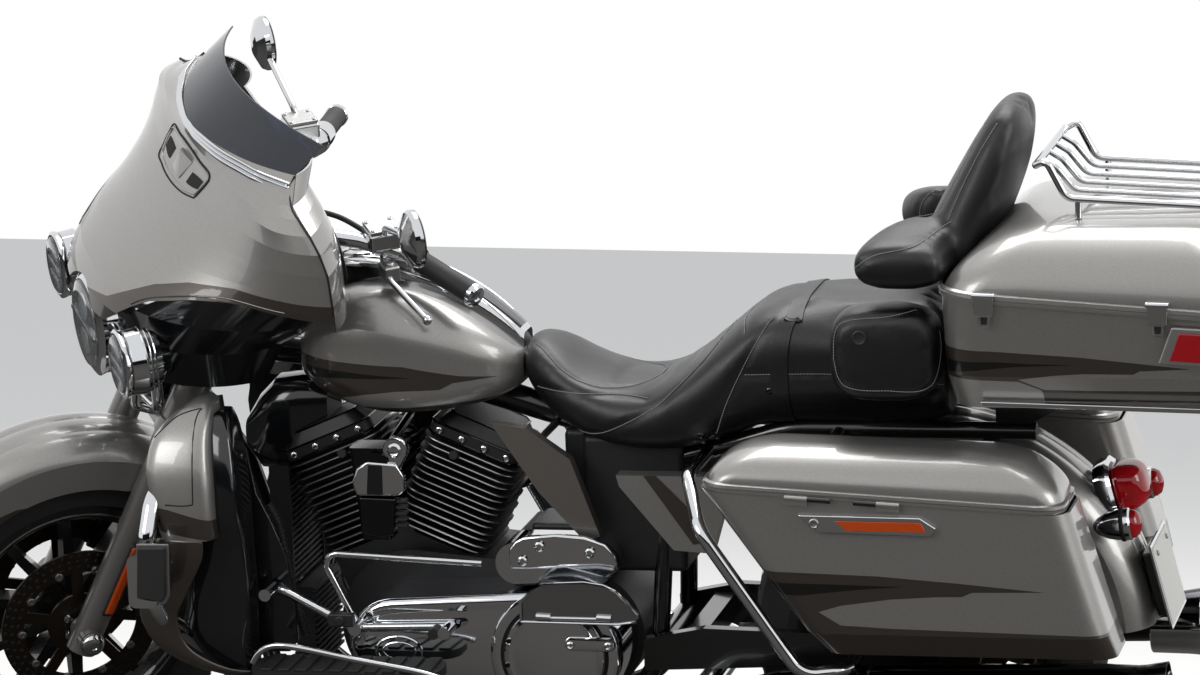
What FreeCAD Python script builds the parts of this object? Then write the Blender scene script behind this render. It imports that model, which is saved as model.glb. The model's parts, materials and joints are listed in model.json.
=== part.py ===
# Touring cruiser motorcycle, leaning on its side stand with the bars on the left steering stop.
# Millimetres. It is drawn upright and straight ahead, x rearward from the front axle, y to the
# rider's right and z up from the floor. Then the steered pieces turn to the stop, and the whole
# machine leans over until both tyres and the stand's foot meet z = 0.
import FreeCAD, Part
import math
import os

from FreeCAD import Placement, Rotation
from FreeCAD import Vector as V

# Driving dimensions: stance and steering
WHEELBASE = 1625.0
RAKE = 26.0                # steering axis from the vertical, degrees
TRAIL = 170.0
STEER_LOCK = 36.0          # each way from straight ahead, degrees
LEAN = 10.0                # on the side stand, degrees
RUN = 0.05                 # radial clearance of a shaft in its bore
SEAT_GAP = 0.3             # clearance where pieces meet without touching

# Driving dimensions: wheels
TYRE_R = 320.0
FRONT_TYRE_W = 130.0
REAR_TYRE_W = 180.0
FRONT_BEAD_R = 216.0
REAR_BEAD_R = 203.0
FRONT_RIM_W = 76.0
REAR_RIM_W = 127.0
TREAD_DROP = 18.0          # crown height over the tread's edge
DISC_R = 150.0
DISC_T = 5.0
AXLE_R = 12.5
HUB_R = 40.0
SEAT_R = 34.0              # hub seats for the discs and the belt pulley
HUB_HALF = 74.0
DISC_Y = 69.0
REAR_DISC_Y = 96.0
PULLEY_R = 108.0
PULLEY_Y = 84.0
PULLEY_W = 34.0
SPOKES = 10

# Driving dimensions: fork and steering head
LEG_Y = 115.0              # fork legs from the middle
LEG_R = 28.0
COVER_R = 33.0             # upper fork covers
STEM_R = 16.0
NECK_R = 30.0
CLAMP_LOW = 790.0          # along the steering axis from the floor
CLAMP_HIGH = 990.0
CLAMP_T = 28.0
CLAMP_END_R = 38.0

# Driving dimensions: body
SHELL = 4.0                # fairing, fender, bag and trunk walls
REAR_FENDER_GAP = 85.0     # the same at the rear
REAR_FENDER_R = TYRE_R + REAR_FENDER_GAP
SUBFRAME_Z = TYRE_R + REAR_FENDER_R - 15.0      # the tubes under the seat run beside the fender's crown
BAG_IN = 250.0             # inner face of a saddlebag from the middle
BAG_OUT = 432.0
BAG_SEAM_Z = 672.0
BAG_SEAM_X = 1300.0
SEAM_FALL = 3.2            # the bag's seam falls rearward, degrees
TRUNK_X0 = 1700.0
TRUNK_X1 = 2245.0
TRUNK_HALF = 325.0
TRUNK_SEAM_Z = SUBFRAME_Z + 278.0
TRUNK_FALL = 4.0
LID_GAP = 0.5
FENDER_GAP = 56.0          # front tyre to fender, on the radius
TUBE_R = 16.0              # frame rails
GUARD_R = 16.0
BAR_R = 14.0

SIDES = (("left", -1), ("right", 1))


def sind(a):
    return math.sin(math.radians(a))


def cosd(a):
    return math.cos(math.radians(a))


# Basic shapes

def box(x0, x1, y0, y1, z0, z1):
    return Part.makeBox(x1 - x0, y1 - y0, z1 - z0, V(x0, y0, z0))


def rod(p, q, r):
    d = q - p
    return Part.makeCylinder(r, d.Length, p, d)


def fuse(shapes):
    out = shapes[0].multiFuse(shapes[1:]) if len(shapes) > 1 else shapes[0]
    return out.removeSplitter()


def both(shape):
    """The shape and its mirror image, left and right."""
    return [shape, shape.mirror(V(0, 0, 0), V(0, 1, 0))]


def side(shape, sign):
    """A shape drawn on the left, kept there or moved to the right."""
    return shape if sign < 0 else shape.mirror(V(0, 0, 0), V(0, 1, 0))


def polygon(points):
    return Part.Wire(Part.makePolygon(list(points) + [points[0]]))


def prism(points, direction):
    return Part.Face(polygon(points)).extrude(direction)


def tube(points, r, bend):
    """A round bar along straight runs joined by tangent arcs."""
    pts = [V(*p) for p in points]
    edges = []
    start = pts[0]
    for before, corner, after in zip(pts, pts[1:], pts[2:]):
        u = (before - corner).normalize()
        w = (after - corner).normalize()
        half = u.getAngle(w) / 2
        reach = min(bend / math.tan(half), 0.45 * (before - corner).Length, 0.45 * (after - corner).Length)
        radius = reach * math.tan(half)
        toward = (u + w).normalize()
        centre = corner + toward * (radius / math.sin(half))
        edges.append(Part.LineSegment(start, corner + u * reach).toShape())
        edges.append(Part.Arc(corner + u * reach, centre - toward * radius, corner + w * reach).toShape())
        start = corner + w * reach
    edges.append(Part.LineSegment(start, pts[-1]).toShape())
    end = Part.Wire(Part.Circle(pts[0], pts[1] - pts[0], r).toShape())
    return Part.Wire(edges).makePipeShell([end], True, False)


def lathe(profile, centre, axis="y", angle=360.0, start=0.0):
    """A profile of (along the axis, radius) points turned about y or x; angle 0 is straight up."""
    ring = list(profile) + [profile[0]]
    if axis == "y":
        place = [centre + V(0, a, r) for a, r in ring]
        turn = V(0, 1, 0)
    else:
        place = [centre + V(a, 0, r) for a, r in ring]
        turn = V(1, 0, 0)
    face = Part.Face(Part.Wire(Part.makePolygon(place)))
    face.rotate(centre, turn, start)
    return face.revolve(centre, turn, angle)


def section_x(x, half, z0, z1, top, foot):
    """A closed section across the machine: flat sides, rounded top and bottom corners."""
    c = [(-half, z0, foot), (half, z0, foot), (half, z1, top), (-half, z1, top)]
    return rounded([V(x, y, z) for y, z, r in c], [r for y, z, r in c])


def section_z(z, x0, x1, y0, y1, r):
    """A closed level section with rounded corners."""
    c = [V(x0, y0, z), V(x1, y0, z), V(x1, y1, z), V(x0, y1, z)]
    return rounded(c, [r] * 4)


def rounded(corners, radii):
    """A closed outline of straight runs with an arc at every corner."""
    count = len(corners)
    edges = []
    ends = []
    for i, (p, r) in enumerate(zip(corners, radii)):
        u = (corners[i - 1] - p).normalize()
        w = (corners[(i + 1) % count] - p).normalize()
        half = u.getAngle(w) / 2
        reach = r / math.tan(half)
        toward = (u + w).normalize()
        middle = p + toward * (r / math.sin(half) - r)
        ends.append((p + u * reach, middle, p + w * reach))
    for i, (a, m, b) in enumerate(ends):
        edges.append(Part.Arc(a, m, b).toShape())
        edges.append(Part.LineSegment(b, ends[(i + 1) % count][0]).toShape())
    return Part.Wire(edges)


def loft(wires, ruled=False):
    return Part.makeLoft(wires, True, ruled)


# Places that several pieces share

STEER_DIR = V(sind(RAKE), 0, cosd(RAKE))
STEER_BACK = V(cosd(RAKE), 0, -sind(RAKE))
STEER_FOOT = V(-TRAIL, 0, 0)
FRONT_AXLE = V(0, 0, TYRE_R)
REAR_AXLE = V(WHEELBASE, 0, TYRE_R)
AXLE_ALONG = (FRONT_AXLE - STEER_FOOT).dot(STEER_DIR)
LEG_BACK = (FRONT_AXLE - STEER_FOOT).dot(STEER_BACK)


def head(along, y=0.0, back=0.0):
    """A point measured along the steering axis, across, and square behind it."""
    return STEER_FOOT + STEER_DIR * along + STEER_BACK * back + V(0, y, 0)


def tread_arc(width):
    """Half width and radius of a tyre's crown."""
    half = width / 2 - 14.0
    return half, (half * half + TREAD_DROP * TREAD_DROP) / (2 * TREAD_DROP)


# The stance: how far the machine leans and pitches, and where the floor is

def stance():
    """The placement that stands the machine on both tyres, leaning to the left."""
    lean = Rotation(V(1, 0, 0), LEAN)
    steer = Rotation(STEER_DIR, STEER_LOCK)
    pitch = 0.0
    front = STEER_FOOT + steer.multVec(FRONT_AXLE - STEER_FOOT)
    wheels = ((front, steer.multVec(V(0, 1, 0)), FRONT_TYRE_W), (REAR_AXLE, V(0, 1, 0), REAR_TYRE_W))
    for _ in range(12):
        turn = Rotation(V(0, 1, 0), pitch).multiply(lean)
        lows = []
        for centre, axle, width in wheels:
            crown = tread_arc(width)[1]
            tilt = turn.multVec(axle).z
            drop = (TYRE_R - crown) * math.sqrt(1 - tilt * tilt) + crown
            lows.append(turn.multVec(centre).z - drop)
        pitch += math.degrees(math.atan2(lows[1] - lows[0], WHEELBASE))
    return Placement(V(0, 0, -lows[0]), turn)


STANCE = stance()
DOWN = STANCE.Rotation.inverted().multVec(V(0, 0, -1))


def floor_below(p):
    """The floor point straight below p, in upright coordinates."""
    return p + DOWN * STANCE.multVec(p).z


STAND_PIVOT = V(862, -165, 160)
STAND_FOOT = floor_below(V(722, -345, 0))
STAND_FOLD = V(1130, -192, 172)    # where the leg points when it is folded
STAND_AXIS = (STAND_FOOT - STAND_PIVOT).cross(STAND_FOLD - STAND_PIVOT).normalize()
STAND_SWING = math.degrees((STAND_FOOT - STAND_PIVOT).getAngle(STAND_FOLD - STAND_PIVOT))
STAND_R = 11.0
STAND_EYE = 24.0           # length of the stand's eye, and the radii of the eye and its pin
STAND_EYE_R = 17.0
STAND_PIN_R = 7.0


# Wheels

def tyre(centre, width, bead_r, bead_w):
    half, crown = tread_arc(width)
    edge_r = TYRE_R - TREAD_DROP
    bulge = bead_r + 0.45 * (edge_r - bead_r)
    flank = [(bead_w / 2, bead_r), (bead_w / 2, bead_r + 15), (width / 2 - 3, bulge - 16), (width / 2, bulge),
             (width / 2 - 3, bulge + 16), (half, edge_r)]

    def at(y, r):
        return centre + V(0, y, r)

    left = [at(-y, r) for y, r in flank]
    right = [at(y, r) for y, r in reversed(flank)]
    edges = [Part.LineSegment(a, b).toShape() for run in (left, right) for a, b in zip(run, run[1:])]
    edges.insert(len(left) - 1, Part.Arc(left[-1], at(0, TYRE_R), right[0]).toShape())
    edges.append(Part.LineSegment(right[-1], left[0]).toShape())
    return Part.Face(Part.Wire(edges)).revolve(centre, V(0, 1, 0), 360)


def cast_wheel(centre, bead_r, bead_w, hub_y):
    """Rim with flanges, hub with its axle bore, and tapered cast spokes.

    hub_y lists the hub's left end, left seat, right seat and right end."""
    w = bead_w / 2
    end_l, seat_l, seat_r, end_r = hub_y
    rim = lathe([(-w - 6, bead_r + 12), (-w, bead_r + 12), (-w, bead_r), (w, bead_r), (w, bead_r + 12),
                 (w + 6, bead_r + 12), (w + 6, bead_r - 8), (w * 0.5, bead_r - 26),
                 (-w * 0.5, bead_r - 26), (-w - 6, bead_r - 8)], centre)
    hub = lathe([(end_l, AXLE_R + RUN), (end_r, AXLE_R + RUN), (end_r, SEAT_R), (seat_r, SEAT_R),
                 (seat_r, HUB_R), (seat_l, HUB_R), (seat_l, SEAT_R), (end_l, SEAT_R)], centre)
    root, tip = HUB_R - 8, bead_r - 14
    pieces = [rim, hub]
    for i in range(SPOKES):
        arm = loft([polygon([centre + V(-13, -24, root), centre + V(13, -24, root),
                             centre + V(13, 24, root), centre + V(-13, 24, root)]),
                    polygon([centre + V(-8, -w * 0.45, tip), centre + V(8, -w * 0.45, tip),
                             centre + V(8, w * 0.45, tip), centre + V(-8, w * 0.45, tip)])], True)
        arm.rotate(centre, V(0, 1, 0), 360.0 * i / SPOKES)
        pieces.append(arm)
    return fuse(pieces)


def brake_disc(centre, y, arms=5):
    """Friction ring, centre ring and the arms between them."""
    def ring(outer, inner):
        disc = Part.makeCylinder(outer, DISC_T, centre + V(0, y - DISC_T / 2, 0), V(0, 1, 0))
        hole = Part.makeCylinder(inner, DISC_T, centre + V(0, y - DISC_T / 2, 0), V(0, 1, 0))
        return disc.cut(hole)
    pieces = [ring(DISC_R, DISC_R - 42), ring(HUB_R + 22, SEAT_R + SEAT_GAP)]
    for i in range(arms):
        arm = box(-11, 11, -DISC_T / 2, DISC_T / 2, HUB_R + 10, DISC_R - 36)
        arm.rotate(V(0, 0, 0), V(0, 1, 0), 360.0 * i / arms)
        arm.translate(centre + V(0, y, 0))
        pieces.append(arm)
    return fuse(pieces)


def wheels(nodes):
    nodes["front_tyre"] = tyre(FRONT_AXLE, FRONT_TYRE_W, FRONT_BEAD_R, FRONT_RIM_W)
    seat = DISC_Y - DISC_T / 2
    nodes["front_rim"] = cast_wheel(FRONT_AXLE, FRONT_BEAD_R, FRONT_RIM_W, (-HUB_HALF, -seat, seat, HUB_HALF))
    nodes["front_discs"] = Part.makeCompound([brake_disc(FRONT_AXLE, s * DISC_Y) for _, s in SIDES])
    nodes["rear_tyre"] = tyre(REAR_AXLE, REAR_TYRE_W, REAR_BEAD_R, REAR_RIM_W)
    hub = (-PULLEY_Y - PULLEY_W - 2, -PULLEY_Y, REAR_DISC_Y - DISC_T / 2, REAR_DISC_Y + DISC_T)
    nodes["rear_rim"] = cast_wheel(REAR_AXLE, REAR_BEAD_R, REAR_RIM_W, hub)
    foot = REAR_AXLE + V(0, -PULLEY_Y, 0)
    pulley = Part.makeCylinder(PULLEY_R, PULLEY_W, foot, V(0, -1, 0))
    pulley = pulley.cut(Part.makeCylinder(SEAT_R + SEAT_GAP, PULLEY_W, foot, V(0, -1, 0)))
    nodes["rear_rotors"] = Part.makeCompound([pulley, brake_disc(REAR_AXLE, REAR_DISC_Y)])


# Steered pieces

def fork():
    """Legs with their axle, upper covers, the two clamps and the steering stem."""
    pieces = []
    for _, s in SIDES:
        y = s * LEG_Y
        pieces.append(rod(head(AXLE_ALONG - 32, y, LEG_BACK), head(CLAMP_LOW, y, LEG_BACK), LEG_R))
        pieces.append(rod(head(CLAMP_LOW - 30, y, LEG_BACK), head(CLAMP_HIGH + 20, y, LEG_BACK), COVER_R))
    for along in (CLAMP_LOW, CLAMP_HIGH):
        ends = [Part.makeCylinder(CLAMP_END_R, CLAMP_T, head(along, s * LEG_Y, LEG_BACK), STEER_DIR)
                for _, s in SIDES]
        ends.append(Part.makeCylinder(40, CLAMP_T, head(along), STEER_DIR))
        bar = prism([head(along, -LEG_Y, LEG_BACK - 30), head(along, LEG_Y, LEG_BACK - 30),
                     head(along, LEG_Y, LEG_BACK + 24), head(along, -LEG_Y, LEG_BACK + 24)],
                    STEER_DIR * CLAMP_T)
        pieces.append(fuse([bar] + ends))
    pieces.append(rod(head(CLAMP_LOW), head(CLAMP_HIGH), STEM_R))
    lamp_arm_z = HEADLAMP.z + 14
    pieces.append(rod(V(262, 0, lamp_arm_z), V(HEADLAMP.x + HEADLAMP_DEEP + SEAT_GAP, 0, lamp_arm_z), 8))
    pieces.append(rod(FRONT_AXLE + V(0, -LEG_Y - 34, 0), FRONT_AXLE + V(0, LEG_Y + 34, 0), AXLE_R))
    for _, s in SIDES:
        nut = FRONT_AXLE + V(0, s * (LEG_Y - LEG_R - 2), 0)
        pieces.append(Part.makeCylinder(24, 2 * LEG_R + 10, nut, V(0, s, 0)))
    return fuse(pieces)


def calipers():
    """Brake calipers behind the legs, astride the discs."""
    out = []
    for _, s in SIDES:
        y0, y1 = sorted((s * (DISC_Y - 13), s * (LEG_Y - LEG_R + 10)))
        body = Part.makeCylinder(DISC_R + 14, y1 - y0, FRONT_AXLE + V(0, y0, 0), V(0, 1, 0))
        body = body.cut(Part.makeCylinder(DISC_R - 50, y1 - y0, FRONT_AXLE + V(0, y0, 0), V(0, 1, 0)))
        wedge = prism([FRONT_AXLE + V(0, y0, 0), FRONT_AXLE + V(300 * sind(32), y0, 300 * cosd(32)),
                       FRONT_AXLE + V(300 * sind(88), y0, 300 * cosd(88))], V(0, y1 - y0, 0))
        slot = Part.makeCylinder(DISC_R + 4, DISC_T + 4, FRONT_AXLE + V(0, s * DISC_Y - DISC_T / 2 - 2, 0),
                                 V(0, 1, 0))
        leg = rod(head(AXLE_ALONG - 60, s * LEG_Y, LEG_BACK), head(CLAMP_LOW, s * LEG_Y, LEG_BACK),
                  LEG_R + SEAT_GAP)
        solids = body.common(wedge).cut(slot).cut(leg).Solids
        out.append(max(solids, key=lambda part: part.Volume))
    return Part.makeCompound(out)


FENDER_FRONT = -50.0       # ends of the front fender round the axle, from straight up
FENDER_REAR = 74.0


def fender_shell(centre, crown_r, skirt_r, half, start, end):
    """A U-section turned round an axle: curved crown, straight skirts."""
    def outline(r, inner, h):
        bend = 0.78 * h
        return [
            Part.LineSegment(centre + V(0, -h, inner), centre + V(0, -h, r - bend * 0.55)).toShape(),
            Part.Arc(centre + V(0, -h, r - bend * 0.55), centre + V(0, -h * 0.74, r - bend * 0.16),
                     centre + V(0, -h * 0.3, r - 4)).toShape(),
            Part.Arc(centre + V(0, -h * 0.3, r - 4), centre + V(0, 0, r), centre + V(0, h * 0.3, r - 4)).toShape(),
            Part.Arc(centre + V(0, h * 0.3, r - 4), centre + V(0, h * 0.74, r - bend * 0.16),
                     centre + V(0, h, r - bend * 0.55)).toShape(),
            Part.LineSegment(centre + V(0, h, r - bend * 0.55), centre + V(0, h, inner)).toShape(),
            Part.LineSegment(centre + V(0, h, inner), centre + V(0, -h, inner)).toShape(),
        ]

    def solid(r, inner, h):
        face = Part.Face(Part.Wire(outline(r, inner, h)))
        face.rotate(centre, V(0, 1, 0), start)
        return face.revolve(centre, V(0, 1, 0), end - start)
    return solid(crown_r, skirt_r, half).cut(solid(crown_r - SHELL, skirt_r - 1, half - SHELL))


def front_fender():
    crown = TYRE_R + FENDER_GAP + SHELL
    return fender_shell(FRONT_AXLE, crown, crown - 95, LEG_Y - LEG_R - SEAT_GAP, FENDER_FRONT, FENDER_REAR)


# Sections of the fork-mounted fairing, level by level: height, seam x, seam y, and x from the nose
# outward at these shares of the half width
FAIRING_AT = (0.0, 0.24, 0.48, 0.70, 0.88)
FAIRING = (
    (920, 410, 430, (70, 79, 116, 206, 312)),
    (963, 410, 435, (58, 67, 108, 209, 316)),
    (989, 410, 437, (66, 75, 116, 213, 319)),
    (1022, 410, 437, (88, 97, 137, 223, 318)),
    (1057, 409, 437, (128, 136, 168, 243, 320)),
    (1090, 407, 435, (166, 174, 204, 263, 325)),
    (1133, 403, 432, (214, 220, 244, 285, 330)),
    (1171, 394, 420, (256, 261, 276, 299, 331)),
    (1200, 384, 398, (277, 281, 292, 309, 329)),
    (1217, 377, 362, (284, 287, 298, 311, 334)),
    (1228, 375, 326, (286, 290, 300, 314, 336)),
    (1262, 398, 278, (288, 296, 315, 341, 372)),
)
FAIRING_TOP = FAIRING[-1]


def fairing_section(z, side_x, side_y, front, grow=0.0):
    """One level outline of the outer fairing; grow < 0 is its inner wall."""
    half = [V(x, side_y * share, z) for x, share in zip(front, FAIRING_AT)] + [V(side_x, side_y, z)]
    right = []
    for i, p in enumerate(half):
        before = half[i - 1] if i else V(half[1].x, -half[1].y, z)
        along = (half[min(i + 1, len(half) - 1)] - before).normalize()
        right.append(p + V(-along.y, along.x, 0) * grow)
    left = [V(p.x, -p.y, p.z) for p in reversed(right[1:])]
    front_edge = Part.BSplineCurve()
    front_edge.interpolate(left + right)
    return Part.Wire([front_edge.toShape(), Part.LineSegment(right[-1], left[0]).toShape()])


HEADLAMP = V(84, 0, 900)
HEADLAMP_R = 90.0
HEADLAMP_RIM_R = 96.0
HEADLAMP_DEEP = 120.0
LAMP_Y = 210.0
LAMP_R = 60.0


# The fairing's arched lower edge, seen from ahead: low at the headlamp, high over the passing lamps
ARCH = ((120, 965), (141, 980), (172, 1007), (200, 1027), (261, 1047), (317, 1057), (342, 1057), (394, 1050),
        (437, 1040), (500, 1040), (500, 700))
FAIRING_EDGE = [V(0, -y, z) for y, z in reversed(ARCH)] + [V(0, y, z) for y, z in ARCH]


def outer_fairing():
    """Hollow fork-mounted shell with its arched lower edge and headlamp hole, open above and behind."""
    shell = open_shell(FAIRING, fairing_section)
    shell = shell.cut(prism(FAIRING_EDGE, V(700, 0, 0)))
    shell = shell.cut(rod(HEADLAMP + V(-80, 0, 0), HEADLAMP + V(130, 0, 0), HEADLAMP_RIM_R + SEAT_GAP))
    return max(shell.Solids, key=lambda s: s.Volume)


INNER_BOW = 55.0           # the rider's side bulges this far behind the seam, and its dash this far
INNER_DASH = 28.0
# The black chin under the fairing: height, nose x, rear x, half width
CHIN = (
    (820, 124, 350, 190),
    (900, 104, 376, 218),
    (985, 90, 404, 330),
    (1060, 122, 404, 424),
)


def bowed(z, nose, rear, half, grow=0.0):
    """A level outline open to the rear: one arc round the front."""
    a, b = V(rear, -half - grow, z), V(rear, half + grow, z)
    return Part.Wire([Part.Arc(a, V(nose - grow, 0, z), b).toShape(), Part.LineSegment(b, a).toShape()])


def open_shell(levels, outline):
    """The wall between a loft and the same loft drawn one wall smaller."""
    outer = loft([outline(*level) for level in levels], True)
    return outer.cut(loft([outline(*level, grow=-SHELL) for level in levels], True))


def inner_fairing():
    """Rider's side of the fairing, one wall thick: bowed at each side of the flat dash."""
    levels = []
    for z, seam_x, half, _ in FAIRING[3:]:
        seam, bow, dash = seam_x + 4 * SEAT_GAP, seam_x + INNER_BOW, seam_x + INNER_DASH
        skins = []
        for wall in (0, SHELL):
            left = [V(seam, -half + wall, z), V(bow - wall, -half * 0.74, z), V(dash - wall, -half * 0.4, z)]
            skins.append(left + [V(p.x, -p.y, z) for p in reversed(left)])
        (a, b, c, d, e, f), (aa, bb, cc, dd, ee, ff) = skins
        levels.append(Part.Wire([
            Part.Arc(a, b, c).toShape(), Part.LineSegment(c, d).toShape(), Part.Arc(d, e, f).toShape(),
            Part.LineSegment(f, ff).toShape(), Part.Arc(ff, ee, dd).toShape(), Part.LineSegment(dd, cc).toShape(),
            Part.Arc(cc, bb, aa).toShape(), Part.LineSegment(aa, a).toShape()]))
    return loft(levels, True).cut(fuse(both(bar_tube(SEAT_GAP))))


def fairing_chin():
    """Black panels under the arch, one each side of the headlamp."""
    shell = open_shell(CHIN, bowed)
    shell = shell.cut(rod(HEADLAMP + V(-90, 0, 0), HEADLAMP + V(90, 0, 0), HEADLAMP_RIM_R + SEAT_GAP))
    under = prism(FAIRING_EDGE, V(700, 0, 0))
    return Part.makeCompound(both(max(shell.common(under).Solids, key=lambda part: part.CenterOfMass.y)))


# Chassis

RAIL_Y = 125.0
RAIL_Z = 165.0
BACKBONE_R = 26.0
PIVOT = V(1150, 0, 300)
SUBFRAME_Y = 118.0
ENGINE_FEET = (640.0, 1000.0)
SWING_Y = 156.0            # swingarm arms from the middle, and their thickness
SWING_T = 24.0
SHOCK_Y = 162.0


def backbone(grow=0.0):
    """The tube from the neck over the engine to the seat; grow > 0 is its clearance."""
    return tube([head(CLAMP_HIGH - 60), (640, 0, 800), (1180, 0, 640)], BACKBONE_R + grow, 200)


def cradle_rail(s, grow=0.0):
    """One side's tube, from the neck down, back under the engine and up to the seat."""
    y = s * RAIL_Y
    return tube([head(CLAMP_LOW + 112), (340, s * 70, 600), (430, y, 240), (520, y, RAIL_Z), (1080, y, RAIL_Z),
                 (PIVOT.x, y, 290), (1170, s * 90, 640)], TUBE_R + grow, 110)


def subframe_rail(s, grow=0.0):
    """One side's tube under the seat, back to the trunk."""
    return tube([(1170, s * 90, 640), (1400, s * SUBFRAME_Y, SUBFRAME_Z), (1840, s * SUBFRAME_Y, SUBFRAME_Z)],
                TUBE_R + grow, 200)


def frame():
    """Steering neck, backbone, cradle rails and rear subframe, with the stand's lug."""
    neck = rod(head(CLAMP_LOW + CLAMP_T + SEAT_GAP), head(CLAMP_HIGH - SEAT_GAP), NECK_R)
    pieces = [neck, backbone()]
    for _, s in SIDES:
        pieces.append(cradle_rail(s))
        pieces.append(subframe_rail(s))
    reach = SWING_Y - SWING_T / 2 - SEAT_GAP
    cross = [(1170, 640, 90, TUBE_R), (PIVOT.x, PIVOT.z, reach, 24)]
    for x, z, half, r in cross + [(x, RAIL_Z, RAIL_Y, TUBE_R) for x in ENGINE_FEET]:
        pieces.append(rod(V(x, -half, z), V(x, half, z), r))
    bore = rod(head(CLAMP_LOW), head(CLAMP_HIGH + CLAMP_T), STEM_R + RUN)
    return fuse(pieces + stand_lug()).cut(bore)


def swingarm():
    """Two arms from the frame's pivot, and the rear axle through them."""
    arms = []
    for _, s in SIDES:
        y0, y1 = sorted((s * (SWING_Y - SWING_T / 2), s * (SWING_Y + SWING_T / 2)))
        arms.append(prism([V(PIVOT.x - 20, y0, PIVOT.z - 28), V(WHEELBASE + 40, y0, TYRE_R - 22),
                           V(WHEELBASE + 40, y0, TYRE_R + 22), V(PIVOT.x + 90, y0, PIVOT.z + 52),
                           V(PIVOT.x - 20, y0, PIVOT.z + 30)], V(0, y1 - y0, 0)))
    axle = rod(REAR_AXLE + V(0, -SWING_Y - 26, 0), REAR_AXLE + V(0, SWING_Y + 26, 0), AXLE_R)
    return fuse(arms + [axle, box(PIVOT.x + 50, PIVOT.x + 86, -SWING_Y, SWING_Y, PIVOT.z - 10, PIVOT.z + 36)])


def shocks():
    """A shock absorber each side, from the swingarm up to the subframe tube."""
    out = []
    for _, s in SIDES:
        low, high = V(WHEELBASE - 80, s * SHOCK_Y, TYRE_R + 41.5), V(WHEELBASE - 135, s * SHOCK_Y, SUBFRAME_Z - 6)
        along = high - low
        stud = V(high.x, s * (SUBFRAME_Y + TUBE_R + SEAT_GAP), high.z)
        out.append(fuse([rod(low, high, 8), rod(low + along * 0.12, low + along * 0.5, 17),
                         rod(low + along * 0.3, low + along * 0.88, 25),
                         rod(low - V(0, 12, 0), low + V(0, 12, 0), 16), rod(stud, high + V(0, s * 14, 0), 13)]))
    return Part.makeCompound(out)


# Engine, a 45 degree twin: the crank, and each cylinder's lean rearward
CRANK = V(675, 0, 335)
BANK = 22.5
DECK = 158.0               # crank to the foot of a cylinder
BORE_HALF = 68.0
FIN_HALF = 94.0
FIN_T = 4.0
FIN_PITCH = 13.0
FINS = 10
HEAD_H = 58.0
ROCKER_H = 46.0
CASE_HALF = 105.0


def up_bank(shape, bank):
    """A cylinder piece drawn upright over the crank, leaned to its bank."""
    out = shape.copy()
    out.rotate(V(0, 0, 0), V(0, 1, 0), bank)
    out.translate(CRANK)
    return out


def cylinder():
    """Barrel, head and cooling fins, upright over the crank's centre."""
    top = DECK + FINS * FIN_PITCH
    pieces = [Part.makeCylinder(BORE_HALF, top - DECK, V(0, 0, DECK)),
              box(-64, 64, -70, 70, top, top + HEAD_H)]
    for i in range(FINS + int(HEAD_H / FIN_PITCH)):
        z = DECK + FIN_PITCH * (i + 0.6)
        half = FIN_HALF if i % 2 else FIN_HALF - 3
        fin = Part.Face(section_z(z, -half, half, -half, half, 34)).extrude(V(0, 0, FIN_T))
        pieces.append(fin)
    return fuse(pieces)


def case_mount(bank):
    """The case's raised deck under one cylinder."""
    return up_bank(box(-80, 80, -84, 84, 90, DECK), bank)


def cylinders():
    """Both cylinders, their fins trimmed where the V closes and off the other one's deck."""
    out = []
    for bank in (-BANK, BANK):
        x0, x1 = sorted((CRANK.x + math.copysign(SEAT_GAP, bank), CRANK.x + math.copysign(400, bank)))
        half = up_bank(cylinder(), bank).common(box(x0, x1, -200, 200, 300, 900))
        out.append(half.cut(case_mount(-bank)).cut(crankcase(SEAT_GAP)))
    return Part.makeCompound(out)


def rocker_cover():
    """Rocker box and its domed cover over one head."""
    foot = DECK + FINS * FIN_PITCH + HEAD_H
    lower = Part.Face(section_z(foot, -88, 88, -92, 92, 26)).extrude(V(0, 0, 24))
    upper = loft([section_z(foot + 24, -78, 78, -84, 84, 24), section_z(foot + ROCKER_H, -62, 62, -70, 70, 20)],
                 True)
    return fuse([lower, upper])


def long_round(front, rear, y0, y1):
    """A slab across y whose outline runs round two circles (x, z, radius) and straight between."""
    (xa, za, ra), (xb, zb, rb) = front, rear
    slope = math.atan2(zb - za, xb - xa)
    lift = math.acos((ra - rb) / math.hypot(xb - xa, zb - za))

    def at(x, z, r, angle):
        return V(x + r * math.cos(angle), y0, z + r * math.sin(angle))
    up, down = slope + lift, slope - lift
    edges = [Part.LineSegment(at(xa, za, ra, up), at(xb, zb, rb, up)).toShape(),
             Part.Arc(at(xb, zb, rb, up), at(xb, zb, rb, slope), at(xb, zb, rb, down)).toShape(),
             Part.LineSegment(at(xb, zb, rb, down), at(xa, za, ra, down)).toShape(),
             Part.Arc(at(xa, za, ra, down), at(xa, za, ra, slope + math.pi), at(xa, za, ra, up)).toShape()]
    return Part.Face(Part.Wire(edges)).extrude(V(0, y1 - y0, 0))


def crankcase(grow=0.0):
    return long_round((CRANK.x + 20, 330, 140 + grow), (1000, 320, 118 + grow), -CASE_HALF, CASE_HALF)


def engine_cases():
    """Crankcase, gearbox and the right side's cam cover, closed: one plain mass with its outer form."""
    case = crankcase()
    cam = long_round((CRANK.x + 15, 335, 108), (850, 330, 80), CASE_HALF, 150)
    mounts = [case_mount(bank) for bank in (-BANK, BANK)]
    feet = [box(x - 22, x + 22, -70, 70, RAIL_Z + TUBE_R + SEAT_GAP, 240) for x in ENGINE_FEET]
    return fuse([case, cam] + mounts + feet)


PRIMARY_Y = -CASE_HALF - SEAT_GAP
PRIMARY_FACE = PRIMARY_Y - 130.0
CLUTCH = (988, 320, 112)


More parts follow.
